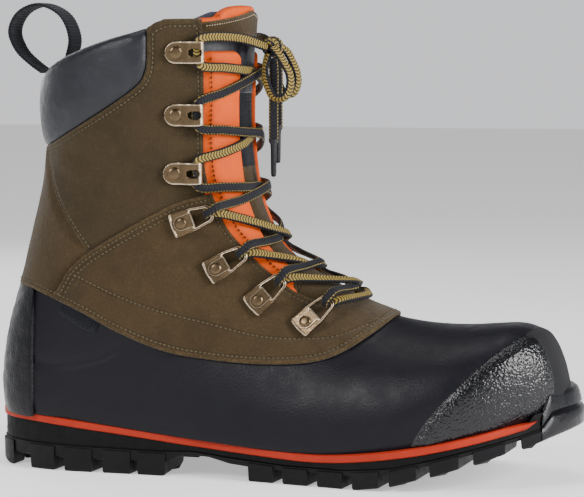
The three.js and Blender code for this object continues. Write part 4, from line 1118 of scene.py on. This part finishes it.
def lace_tip(name, top, body):
    """The crimped tube on a lace's end: oval at the lace and round at its tip."""
    rings = []
    turns = 2 * np.pi * np.arange(20) / 20
    for drop, wide, thick in ((-1.5, 2.2, 1.2), (-1.5, 2.75, 1.55), (0.2, 2.6, 1.6), (1.2, 1.85, 1.6),
                              (4, 1.65, 1.6), (9, 1.6, 1.6), (17, 1.5, 1.5), (18.4, 1.35, 1.35),
                              (TIP_LENGTH, 0.7, 0.7)):
        ring = np.stack([0.894 * wide * np.cos(turns) + 0.447 * thick * np.sin(turns),
                         0.447 * wide * np.cos(turns) - 0.894 * thick * np.sin(turns), 0 * turns], 1)
        rings.append(ring + top - np.array([0, 0, drop]))
    return loft(name, rings, "tip", body)


def make_knot():
    """Three wraps of lace drawn tight, standing for the knot under the bow."""
    turns = 2 * np.pi * np.arange(16) / 16
    wraps = [
        ((0.2, 0, 0.3), (4.6, 0, 0), (0, 0, 4.4), 0.0, 5.2),
        ((0, 3.3, -0.4), (3.3, 1.0, 0.6), (-0.6, 1.8, 3.5), 1.2, 5),
        ((0, -3.3, -0.2), (3.4, -1.0, 0.4), (-0.4, -1.6, 3.6), 1.1, 5),
    ]
    for k, (centre, x_axis, z_axis, wave, width) in enumerate(wraps):
        centre, x_axis, z_axis = (np.array(v) for v in (centre, x_axis, z_axis))
        arm = np.cos(turns)[:, None] * x_axis + np.sin(turns)[:, None] * z_axis
        ripple = wave * np.sin(2 * turns)[:, None] * np.array([0, 1, 0])
        wrap, _ = braid(f"knot_wrap_{k + 1}", KNOT + centre + arm + ripple, arm, closed=True, width=width,
                        thick=2.6)
        if k == 0:
            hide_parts("lace_knot")
    core = KNOT + np.array([(-1, -7.2, 0.4), (0, -3, 1), (0.4, 0, 0), (0, 3, 1), (-1, 7.2, 0.4)])
    braid("knot_core", core, [(0, 0, 1)] * len(core), width=6.4, thick=5.2)


# ------------------------------------------------------------------ hooks and loops
def rivet(name, frame, x, radius, low, height, parent):
    """A domed rivet head with a flat rim."""
    turns = 2 * np.pi * np.arange(28) / 28
    steps = [(1.0, 0), (1.0, 0.35), (0.95, 0.52), (0.88, 0.6), (0.8, 0.78), (0.66, 0.9), (0.4, 0.98),
             (0.12, 1.0)]
    rings = [[frame @ Vector((x + radius * r * c, radius * r * s, low + height * h))
              for c, s in zip(np.cos(turns), np.sin(turns))] for r, h in steps]
    obj = loft(name, rings, "brass", None, sharp=35)
    obj.parent = parent


def make_hook(name, frame):
    """A pressed speed hook: a round heel, a raised slotted front and a lip that turns down."""
    side = [(-6, 0.6), (-3, 0.6), (0, 0.6), (2, 0.8), (3.4, 1.5), (4.7, 2.5), (6, 3.6), (7.3, 4.4),
            (8.6, 4.75), (10, 4.8), (11.3, 4.75), (12.6, 4.7), (13.7, 4.2), (14.1, 3.1), (14.1, 2.2)]
    s = np.linspace(0, len(side) - 1, 57)
    x, z = (spline(np.array([p[k] for p in side]), s) for k in (0, 1))
    heel = np.sqrt(np.maximum(1 - np.clip(-x / 6, 0, 1) ** 2, 0.02))
    front = np.sqrt(np.maximum(1 - np.clip((x - 11.5) / 3.4, 0, 1) ** 2, 0))
    half = 5.9 * heel * (0.8 + 0.2 * front)
    shares = np.linspace(-1, 1, 25)
    points = [frame @ Vector((x[i], half[i] * v, z[i])) for i in range(len(s)) for v in shares]
    cols = len(shares)
    faces = []
    for i in range(len(s) - 1):
        for k in range(cols - 1):
            place_x, place_y = 0.5 * (x[i] + x[i + 1]), half[i] * 0.5 * (shares[k] + shares[k + 1])
            if math.hypot(max(abs(place_x - 9.8) - 1.7, 0), place_y) > 1.8:
                a = i * cols + k
                faces.append([a, a + 1, a + cols + 1, a + cols])
    obj = mesh_object(f"{name}_plate", points, faces, "brass", sharp=60)
    rim = np.abs(shares)[None] * half[:, None] - half[:, None] > -0.6
    attribute(obj, "worn", (rim | (x[:, None] > 12.6)).ravel().astype(float))
    thick = obj.modifiers.new("thickness", "SOLIDIFY")
    thick.thickness = 1.2 * MM
    thick.offset = 0
    smooth = obj.modifiers.new("smooth", "SUBSURF")
    smooth.levels = smooth.render_levels = 1
    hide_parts(name)
    rivet(f"{name}_rivet", frame, 0, 3.5, 1.1, 1.25, obj)


def outline_ring(corners, rounding):
    """Points round a polygon with rounded corners; the same number for every corner and side."""
    p = np.array(corners, float)
    before, after = np.roll(p, 1, axis=0), np.roll(p, -1, axis=0)
    arcs = []
    for a, b, c in zip(before, p, after):
        back, ahead = a - b, c - b
        back = b + min(rounding, 0.45 * np.linalg.norm(back)) * unit(back)
        ahead = b + min(rounding, 0.45 * np.linalg.norm(ahead)) * unit(ahead)
        arcs.append([(1 - f) ** 2 * back + 2 * f * (1 - f) * b + f * f * ahead for f in np.linspace(0, 1, 6)])
    ring = []
    for arc, following in zip(arcs, arcs[1:] + arcs[:1]):
        ring += arc
        ring += [arc[-1] + f * (following[0] - arc[-1]) for f in (0.25, 0.5, 0.75)]
    return np.array(ring)


def make_lace_loop(name, frame):
    """A cast loop: a flat frame with a raised bright rim, a riveted tab and a narrow nose."""
    outer = outline_ring([(-6.4, -6.5), (6, -6.2), (11, -5.3), (15.4, -4.7), (17.2, -3), (17.2, 3),
                          (15.4, 4.7), (11, 5.3), (6, 6.2), (-6.4, 6.5), (-7, 0)], 1.2)
    inner = outline_ring([(5.5, -4.7), (7, -4.6), (11, -3.8), (14.5, -3.2), (15.5, -2.2), (15.5, 2.2),
                          (14.5, 3.2), (11, 3.8), (7, 4.6), (5.5, 4.7), (5.5, 0)], 1.2)
    profile = [(0, 0.25), (0, 1.15), (0.12, 1.6), (0.22, 1.72), (0.34, 1.6), (0.44, 1.25), (0.56, 1.25),
               (0.7, 1.45), (0.88, 1.5), (1, 1.1), (1, 0.25), (0.85, 0), (0.15, 0)]
    rings = []
    for o, i in zip(outer, inner):
        width = np.linalg.norm(i - o)
        rings.append([])
        for share, height in profile:
            edge = share if share < 0.5 else 1 - share
            reach = min(edge * 3.2 / width, edge) if width > 3.2 else edge
            f = reach if share < 0.5 else 1 - reach
            rings[-1].append(frame @ Vector((*(o + f * (i - o)), height)))
    obj = loft(f"{name}_frame", rings, "brass", closed=True, sharp=30)
    attribute(obj, "worn", [float(1.4 < height) for _ in outer for _, height in profile])
    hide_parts(name)
    heel = [(-1.2 - 3.9 * math.sin(a), -3.9 * math.cos(a)) for a in np.linspace(math.pi, 0, 13)]
    tab = outline_ring(heel + [(6, -3.9), (6, 3.9)], 0.6)
    centre = tab.mean(0)
    rings = [[frame @ Vector((*(centre + k * (p - centre)), h)) for p in tab]
             for k, h in ((1, 0.9), (1, 1.75), (0.95, 1.95), (0.88, 1.95), (0.86, 1.8), (0.1, 1.8))]
    plate = loft(f"{name}_tab", rings, "brass", None, sharp=30)
    attribute(plate, "worn", [float(k == 2) for k in range(len(rings)) for _ in tab])
    plate.parent = obj
    rivet(f"{name}_rivet", frame, -0.9, 3.1, 1.75, 1.4, obj)


def make_hardware():
    for name, side in SIDES:
        for i, place in enumerate(HOOKS):
            make_hook(f"speed_hook_{name}_{i + 1}", hook_frame(place, side))
        for i, place in enumerate(LOOPS):
            make_lace_loop(f"lace_loop_{name}_{i + 1}", loop_frame(place, side, LOOP_TILT))


# ------------------------------------------------------------------ upper
def seam_row(name, distance, at, look="thread_olive", **more):
    return {"name": name, "distance": distance, "at": at, "look": look, **more}


def below_height(z):
    return flipped(beyond(np.array([(-200.0, z), (200.0, z)])))


def above_height(z):
    return beyond(np.array([(-200.0, z), (200.0, z)]))


def behind_x(x):
    return beyond(np.array([(x, -50.0), (x, 300.0)]))


def rubbed(amount, size):
    """A soft unevenness of a surface, the same at every run."""
    def relief(net, found, free):
        p, _ = net.places()
        return amount * np.array([noise.noise(Vector(q / size)) for q in p]) * smoothstep(free, 0.5, 4)
    return relief


def creased(lines, depth, width):
    """Soft folds in the leather along side-view lines, with a little unevenness."""
    found_lines = [beyond(curve(line)) for line in lines]
    base = rubbed(0.35, 14)

    def relief(net, found, free):
        p, n = net.places()
        rise = base(net, found, free)
        for distance in found_lines:
            d = distance(p, n) / width
            rise -= depth * np.exp(-d * d) - 0.45 * depth * np.exp(-(np.abs(d) - 1.6) ** 2)
        return rise
    return relief


def make_upper():
    behind_opening = flipped(IN_OPENING)
    vamp, _ = panel(
        "vamp", "nubuck", (4.6, 22.5), 13,
        [(ABOVE_RIM, "on"), (flipped(ABOVE_DIAGONAL), "over"), (behind_opening, "over")], LEATHER,
        relief=creased([[(-20, 112), (5, 88), (28, 66)], [(-4, 100), (18, 84), (40, 70)]], 0.5, 4),
        stitches=[
            seam_row("rim_row", ABOVE_RIM, 3.2, clear=[(flipped(ABOVE_DIAGONAL), 3)]),
            seam_row("second_row", ABOVE_SECOND, 0, turn=-1,
                     clear=[(flipped(ABOVE_DIAGONAL), 3), (ABOVE_RIM, 5), (behind_opening, 4)]),
            seam_row("top_row", flipped(ABOVE_DIAGONAL), 3.0, clear=[(ABOVE_RIM, 2), (behind_opening, 3)]),
            seam_row("top_row_2", flipped(ABOVE_DIAGONAL), 5.6, turn=-1,
                     clear=[(ABOVE_RIM, 4), (behind_opening, 5)]),
            seam_row("eyestay_row", behind_opening, 3.2, turn=-1, clear=[(flipped(ABOVE_DIAGONAL), 4)]),
        ])
    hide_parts("vamp_and_lower_quarters")

    rear, _ = panel(
        "rear", "rear", (2.5, 10), 13,
        [(ABOVE_RIM, "on"), (ABOVE_DIAGONAL, "tuck"), (flipped(BEFORE_REAR), "tuck"),
         (flipped(IN_PAD), "over")], LEATHER, relief=rubbed(0.5, 16),
        stitches=[seam_row("pad_row", flipped(IN_PAD), 3.2), seam_row("rim_row", ABOVE_RIM, 3.2)])
    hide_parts("rear_panel")

    for name, side in SIDES:
        quarter, _ = panel(
            f"quarter_{name}", "quarter", (0.8, 10), 13,
            [(ABOVE_DIAGONAL, "tuck"), (BEFORE_REAR, "over"), (flipped(IN_PAD), "over"),
             (behind_opening, "over"), (flipped(ABOVE_COLLAR), "over")], LEATHER,
            angles=(-1.0, 0.0) if side < 0 else (0.0, 1.0),
            relief=creased([[(-112, 158), (-92, 150), (-70, 152)], [(-108, 172), (-84, 163), (-60, 166)]],
                           0.45, 4.5),
            stitches=[
                seam_row("rear_row", BEFORE_REAR, 2.2, clear=[(ABOVE_DIAGONAL, 1), (flipped(IN_PAD), 3)]),
                seam_row("pad_row", flipped(IN_PAD), 3.2,
                         clear=[(BEFORE_REAR, 3), (flipped(ABOVE_COLLAR), 3)]),
                seam_row("collar_row", flipped(ABOVE_COLLAR), 4, clear=[(behind_opening, 3),
                                                                       (flipped(IN_PAD), 3)]),
                seam_row("eyestay_row", behind_opening, 3.2, clear=[(ABOVE_DIAGONAL, 1),
                                                                    (flipped(ABOVE_COLLAR), 3)]),
            ])
        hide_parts(f"shaft_quarter_{name}")

    def crown(net, found, free):
        low, top = found
        swell = np.sqrt(np.clip(low / 15, 0, 1) * (2 - np.clip(low / 15, 0, 1)))
        rise = TUCKED + (PAD - TUCKED) * swell - PAD
        uneven = np.array([noise.noise(Vector(q / 12)) for q in net.places()[0]])
        rise += 0.25 * uneven * smoothstep(low, 3, 8)
        return rise - edge_roll(top, PAD + 0.1, 6.5)

    pad, _ = panel("collar_padding", "pad", (0, 6), 13, [(IN_PAD, "butt"), (flipped(ABOVE_COLLAR), "butt")],
                   PAD, inner=-0.3, relief=crown, rings=(0.15, 0.6, 1.4, 2.6, 4.2), lap=0)
    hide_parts("collar_pad")
    below_felt_top = flipped(beyond(curve([(x, z - 13) for x, z in COLLAR])))
    felt_panel, _ = panel("shaft_felt", "felt", (0.4, 12), 6,
                          [(ABOVE_RIM, "butt"), (below_felt_top, "butt"), (behind_opening, "butt")],
                          -0.1, inner=-4.7, rings=(16.0,))
    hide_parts("shaft_insulation")


def make_lower():
    def ankle_crease(net, found, free):
        p, n = net.places()
        d = HEEL_CREASE(p, n)
        along = smoothstep(p[:, 0], -142, -128) * (1 - smoothstep(p[:, 0], -84, -70))
        return -0.8 * np.exp(-(d / 3) ** 2) * along

    shell, _ = panel("lower_shell", "shell", (5, TOE_TIP), 13,
                     [(ABOVE_WELT, "butt"), (flipped(ABOVE_RIM), "tuck")], 0, inner=-3,
                     relief=ankle_crease, rings=(0.5, 12.0), lap=9, lifts=(0, SHELL_LIFT))
    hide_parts("rubber_shell")

    def pebbles(net, found, free):
        p, _ = net.places()
        rough = [0.16 * noise.noise(Vector(q / 1.8)) + 0.1 * noise.noise(Vector(q / 4)) for q in p]
        grain = smoothstep(np.abs(p[:, 1] - 2), 17, 22)
        edge = 1.5 * (1 - smoothstep(found[1], 0, 7))
        return (np.array(rough) + 0.35) * smoothstep(free, 0.8, 2.5) * grain - 0.35 - edge

    cap, net = panel("toe_cap_skin", "cap", (13.5, TOE_TIP), 18,
                     [(ABOVE_WELT, "butt"), (flipped(BEHIND_CAP), "on")], OVERLAY, inner=0.05, relief=pebbles)
    across = np.abs(surface(net.t, net.a)[:, 1] - 2)
    attribute(cap, "smooth_front", np.tile(1 - smoothstep(across, 17, 21), 2))
    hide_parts("toe_cap")
    heel, _ = panel("heel_skin", "overlay", (6, 14.5), 15,
                    [(ABOVE_WELT, "butt"), (flipped(ABOVE_RIM), "butt"), (flipped(BEFORE_HEEL), "on")],
                    OVERLAY, inner=0.05, relief=rubbed(0.3, 5))
    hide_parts("heel_overlay")


HEEL_CREASE = beyond(curve([(-150, 62), (-120, 58), (-95, 62), (-78, 70)]))
SHELL_LIFT = BURIED + 5.0 - 3.0
BOOTIE_LIFTS = (BURIED + 7.6 - 5.1, BURIED + 10.2 - 8.0)


def make_inner_boot():
    top = [p for p in COLLAR if p[0] < -41] + [(-38, 244), (-30, 247.5), (160, 249)]
    below_top = flipped(beyond(np.array(top, float)))

    def rolled(net, found, free):
        d = found[0]
        p, n = net.places()
        beside = smoothstep(-IN_OPENING(p, n), 0, 6)
        stuffing = 4.6 * smoothstep(-d, -14, -8) * beside
        return stuffing - edge_roll(d, 1.6 + stuffing * 0.55, 1.6 + 2.2 * beside)

    boot, _ = panel("inner_boot", "lining", (0, TOE_TIP), 9, [(below_top, "butt")], -5.1,
                    inner=-8, relief=rolled, rings=(0.2, 0.8, 1.8, 3.2, 6, 9, 14), lifts=BOOTIE_LIFTS)
    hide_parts("bootie_lining")


BASE_BACK = 8
BASE_TIP = 40


def make_tongue():
    def puffed(net, found, free):
        swell = np.clip(free / 7, 0, 1)
        p, _ = net.places()
        uneven = np.array([noise.noise(Vector(q / 9)) for q in p])
        return 0.5 * np.sin(0.5 * np.pi * swell) + 0.3 * uneven * swell

    def rounded_top(net, found, free):
        return -edge_roll(found[1], 2.2, 2.2)

    def band_top(p, n):
        across = np.clip((FACE_HALF + 6 - np.abs(p[:, 1])) / 6, 0, 1)
        return 227 - 9 * (1 - np.sqrt(1 - 0.98 * across ** 2)) - p[:, 2]

    def patch_top(p, n):
        return 249 - 0.2 * np.abs(p[:, 1]) - p[:, 2]

    core, _ = panel("tongue_core", "orange", (0, 13), 9,
                    [(IN_OPENING, "tuck"), (flipped(ABOVE_TONGUE), "butt")], -0.1, inner=-4.7,
                    angles=(-0.5, 0.5), lap=1.0, relief=rounded_top)
    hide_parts("tongue")
    for name, side in SIDES:
        inward = lambda p, n, side=side: aside(FACE_HALF, 1)(p, n) + 1e3 * (side * p[:, 1] < 0) * -1
        band, _ = panel(
            f"band_{name}", "orange", (1, 12.5), 15,
            [(IN_OPENING, "tuck"), (inward, "roll"), (band_top, "roll"), (behind_x(BASE_BACK), "tuck")],
            BAND, angles=(-0.5, 0.0) if side < 0 else (0.0, 0.5), relief=puffed,
            stitches=[seam_row("row", IN_OPENING, 3.4, "thread_dark", clear=[(band_top, 2.5),
                               (behind_x(BASE_BACK), 2), (inward, 1.5)], lift=0.35)])
        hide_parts(f"tongue_band_{name}")
    for name, look, low, high in (("strip_leather", "pad", 204, 235), ("strip_web", "webbing", 163, 205.5),
                                  ("strip_nubuck", "nubuck", 60, 164.5)):
        strip, _ = panel(name, look, (0.8, 12), 12,
                         [(aside(FACE_HALF, -1), "tuck"), (behind_x(BASE_BACK), "tuck"), (IN_OPENING, "butt"),
                          (below_height(high), "butt"), (above_height(low), "on")],
                         2.2 if look == "pad" else 1.8, inner=0.05, angles=(-0.5, 0.5))
        if look == "webbing":
            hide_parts("tongue_face")
    panel("leather_patch", "pad", (0.5, 4.5), 12, [(IN_OPENING, "tuck"), (below_height(237), "butt"),
          (above_height(219), "on")], 0.9, inner=0.05, angles=(-0.5, 0.5))
    base, _ = panel("tongue_foot", "nubuck", (9, 14.5), 15,
                    [(IN_OPENING, "tuck"), (flipped(behind_x(BASE_BACK)), "over"),
                     (behind_x(BASE_TIP), "butt")], 2, inner=0.1, angles=(-0.5, 0.5),
                    stitches=[seam_row("row", flipped(behind_x(BASE_BACK)), 3.4, clear=[(IN_OPENING, 2)])])
    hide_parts("tongue_base")
    patch, _ = panel("top_patch", "nubuck", (0, 3.5), 15, [(ABOVE_PATCH, "over"), (patch_top, "over"),
                     (IN_OPENING, "tuck")], 2, inner=0.1, angles=(-0.5, 0.5),
                     stitches=[seam_row("row", patch_top, 2.2, "thread_cream", size=0.62,
                                        clear=[(ABOVE_PATCH, 2), (IN_OPENING, 1)])])
    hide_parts("tongue_top_patch")


# ------------------------------------------------------------------ sole
def sole_outline(margin):
    """The sole's plan outline, moved out by a margin, anticlockwise from the heel."""
    p = np.array(SOLE_OUTLINE, float)
    p = smooth_path(p, 1.5, closed=True)[0][:-1]
    k = margin / np.hypot(0.35 * p[:, 0], p[:, 1])
    return p * (1 + np.stack([0.35 * k, k], 1))


def widths_at(outline, x):
    """The outer and inner sides of an outline at each x."""
    turn = outline[:, 0].argmin(), outline[:, 0].argmax()
    outline = np.roll(outline, -turn[0], axis=0)
    nose = outline[:, 0].argmax()
    low, high = outline[:nose + 1], np.concatenate([outline[nose:], outline[:1]])[::-1]
    return np.interp(x, low[:, 0], low[:, 1]), np.interp(x, high[:, 0], high[:, 1])


def sole_layer(name, look, margin, bottom, top, profile, x_max, slant=0.0):
    """One layer of the sole; profile gives (share of the height, how far in) up its side."""
    outline = sole_outline(margin)
    ends = outline[:, 0].min() + 0.02, outline[:, 0].max() - 0.02
    turns = np.linspace(0.0, math.acos(1 - 2 * (x_max - ends[0]) / (ends[1] - ends[0])), SOLE_STATIONS)
    x = ends[0] + 0.5 * (ends[1] - ends[0]) * (1 - np.cos(turns))
    low, high = widths_at(outline, x)
    floor, ceiling = bottom(x), top(x)
    rings = []
    for i in range(len(x)):
        half, mid = 0.5 * (high[i] - low[i]), 0.5 * (high[i] + low[i])
        ring = []
        for side in (-1, 1):
            steps = profile if side < 0 else profile[::-1]
            for share, inset in steps:
                y = mid + side * max(half - inset, 0.05)
                lean = slant * share * smoothstep(x[i], x_max - 12, x_max)
                ring.append((x[i] + lean, y, floor[i] + share * (ceiling[i] - floor[i])))
        rings.append(ring)
    rings = np.array(rings)
    return loft(name, rings, look, sharp=40)


def clip_to_bar(outline, bar):
    """The part of an outline inside a convex bar, both anticlockwise."""
    result = list(outline)
    for a, b in zip(bar, np.roll(bar, -1, axis=0)):
        inside = lambda q: (b[0] - a[0]) * (q[1] - a[1]) - (b[1] - a[1]) * (q[0] - a[0])
        clipped = []
        for p, q in zip(result, result[1:] + result[:1]):
            dp, dq = inside(p), inside(q)
            if dp >= 0:
                clipped.append(p)
            if dp * dq < 0:
                clipped.append(p + (q - p) * dp / (dp - dq))
        result = clipped
    return np.array(result)


def lug(name, outline, parent):
    """A rubber lug under the plate, a little narrower at the floor, with a bevelled foot."""
    p = smooth_polygon(outline)
    centre = p.mean(0)
    size = np.sqrt(np.abs(np.cross(p, np.roll(p, -1, axis=0)).sum()) / 2)
    floor = height_at(FLOOR_LINE, p[:, 0])
    top = height_at(OUTSOLE_TOP, p[:, 0]) - 1.0
    rings = []
    for inset, height in ((0, None), (0.35, 1.1), (0.6, 0.5), (1.2, 0.03), (0.4 * size, 0.0)):
        q = centre + (p - centre) * (1 - inset / max(size, 4) * 1.6 if height != 0.0 else 0.3)
        z = top if height is None else floor + height
        rings.append(np.column_stack([q, z]))
    obj = loft(name, rings, "sole", None, sharp=35)
    obj.parent = parent


def smooth_polygon(outline):
    """An outline's points at most 2 mm apart."""
    points = []
    for a, b in zip(outline, np.roll(outline, -1, axis=0)):
        steps = max(int(np.linalg.norm(b - a) / 2), 1)
        points += [a + (b - a) * k / steps for k in range(steps) if np.linalg.norm(b - a) > 0.05]
    return np.array(points)


def make_sole():
    line = lambda points, shift=0.0: lambda x: height_at(curve(points).tolist(), x) + shift
    flat = lambda points, shift=0.0: lambda x: height_at(points, x) + shift
    bumper_back = 145
    plate = sole_layer("outsole_plate", "sole", -0.8, flat(PLATE_LINE), flat(OUTSOLE_TOP),
                       [(0, 1.2), (0.1, 0.3), (0.5, 0), (1, 0)], bumper_back)
    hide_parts("outsole")

    def midsole_top(x):
        return line(WELT_TOP, -WELT_THICK)(x) + (WELT_THICK + 2) * smoothstep(x, 137, 141)

    midsole = sole_layer("midsole_wall", "midsole", -1.3, flat(OUTSOLE_TOP, -0.1), midsole_top,
                         [(0, 0.5), (0.25, 0), (0.5, 0.25), (0.75, 0), (1, 0.3)], bumper_back)
    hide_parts("midsole")
    welt = sole_layer("welt_band", "welt", -0.2, line(WELT_TOP, -WELT_THICK), line(WELT_TOP),
                      [(0, 0.8), (0.12, 0.15), (0.35, 0), (0.65, 0), (0.88, 0.15), (1, 0.9)], 138, slant=5)
    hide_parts("welt_line")

    outline = sole_outline(0.1)
    count = 0
    for xs, width, inner, slant in (([-168, -139, -117, -95, -75], 16, 17, 5),
                                    ([-13, 7, 27, 47, 67, 88, 109, 130], 14.5, 20, 7)):
        for x in xs:
            for side in (-1, 1):
                bar = np.array([(x, side * 95), (x + width, side * 95), (x + width + slant, side * inner),
                                (x + slant, side * inner)], float)
                bar = bar if side < 0 else bar[::-1]
                shape = clip_to_bar(outline, bar)
                if len(shape) > 2:
                    count += 1
                    lug(f"lug_{count}", shape, plate)
    for x in (-150, -126, -102, -78, 8, 33, 58, 83, 108):
        count += 1
        shape = np.array([(x - 7, 0), (x, -11), (x + 9, -6), (x + 13, 0), (x + 9, 6), (x, 11)], float)
        lug(f"lug_{count}", shape, plate)
    make_bumper()


def make_bumper():
    """The glossy toe bumper: two rounded steps round the toe, divided by a groove."""
    outline = sole_outline(1.2)
    front = outline[outline[:, 0] > 145.3]
    front = front[np.argsort(np.arctan2(front[:, 1], front[:, 0] - 120))]
    path, _ = resample(front, 1.0)
    out = unit(np.gradient(path, axis=0))[:, ::-1] * (1, -1)
    profile = [(0, -14), (0, -1.6), (0.03, -0.9), (0.1, -0.6), (0.3, -0.8), (0.44, -1.5), (0.485, -2.2),
               (0.505, -3.4), (0.53, -3.9), (0.555, -3.5), (0.59, -2.6), (0.7, -3.0), (0.86, -4.0),
               (0.955, -5.0), (0.99, -6.0), (1, -7.5), (1, -14)]
    rings = []
    for p, n in zip(path, out):
        low = height_at(FLOOR_LINE, p[0])
        high = np.interp(p[0], [145, 150.5, 156], [37, 50, 50.2])
        recess = 0.5 + 0.5 * smoothstep(p[0], 147, 157)
        ring = []
        for share, reach in profile:
            q = p + n * reach * (recess if share > 0.56 and reach > -10 else 1)
            ring.append((max(q[0], 145.0), q[1], low + share * (high - low)))
        rings.append(ring)
    bumper = loft("toe_bumper_cap", rings, "bumper", sharp=45)
    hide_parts("toe_bumper")


# ------------------------------------------------------------------ pull loop and label
LOOP_LINE = [(-124.5, 223), (-122.5, 234), (-128, 246.5), (-141, 252.5), (-153, 248), (-158, 238),
             (-154, 227.5), (-146, 220), (-139.5, 215.5)]


def make_pull_loop():
    """Ribbed webbing with rounded-off edges, its ends sewn into the collar."""
    points = np.array([(x, 0, z) for x, z in LOOP_LINE], float)
    line, run = smooth_path(points, 0.2)
    ahead = unit(np.gradient(line, axis=0))
    out = np.stack([ahead[:, 2], 0 * run, -ahead[:, 0]], 1)
    ribs = 0.5 * (1 - np.cos(2 * np.pi * run / 1.7))
    half = 9.8
    shares = np.linspace(-1, 1, 15)
    rings = []
    for p, n, rib in zip(line, out, ribs):
        edge = np.abs(shares) ** 6
        thick = (0.75 + 0.28 * rib) * (1 - 0.75 * edge ** 2)
        top = [p + n * t + np.array([0, half * s, 0]) for s, t in zip(shares, thick)]
        low = [p - n * t + np.array([0, half * s, 0]) for s, t in zip(shares[::-1], thick[::-1])]
        rings.append(top + low)
    loop = loft("pull_loop_webbing", rings, "webbing", body=None, sharp=80)
    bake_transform(loop)
    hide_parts("pull_loop")


def make_label():
    outline = np.array([(-113, 92), (-116, 86), (-100, 77.5), (-93.5, 76), (-92, 81), (-99, 90)], float)
    line = np.concatenate([outline[:5]])
    inside = beyond(np.concatenate([line, [(-88, 92)]]))
    label, _ = panel("label", "webbing", (6.5, 11.5), 16, [(inside, "on"), (flipped(ABOVE_RIM), "tuck"),
                     (on_side(-1), "butt")], 1.3, inner=0.05,
                     angles=(-1.0, 0.0), stitches=[seam_row("row", inside, 1.8, "thread_black",
                                                            clear=[(flipped(ABOVE_RIM), 1)])])
    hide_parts("side_label")


# ------------------------------------------------------------------ hidden pieces
def finish_hidden():
    looks = {"footbed": "footbed", "insole_board": "board", "toe_puff": "stiffener",
             "heel_counter": "stiffener", "shank": "steel"}
    for name, look in looks.items():
        obj = bpy.data.objects[name]
        obj.data.materials.clear()
        obj.data.materials.append(LOOKS[look])


make_camera()
make_studio()
make_laces()
make_hardware()
make_upper()
make_lower()
make_inner_boot()
make_tongue()
make_sole()
make_pull_loop()
make_label()
finish_hidden()
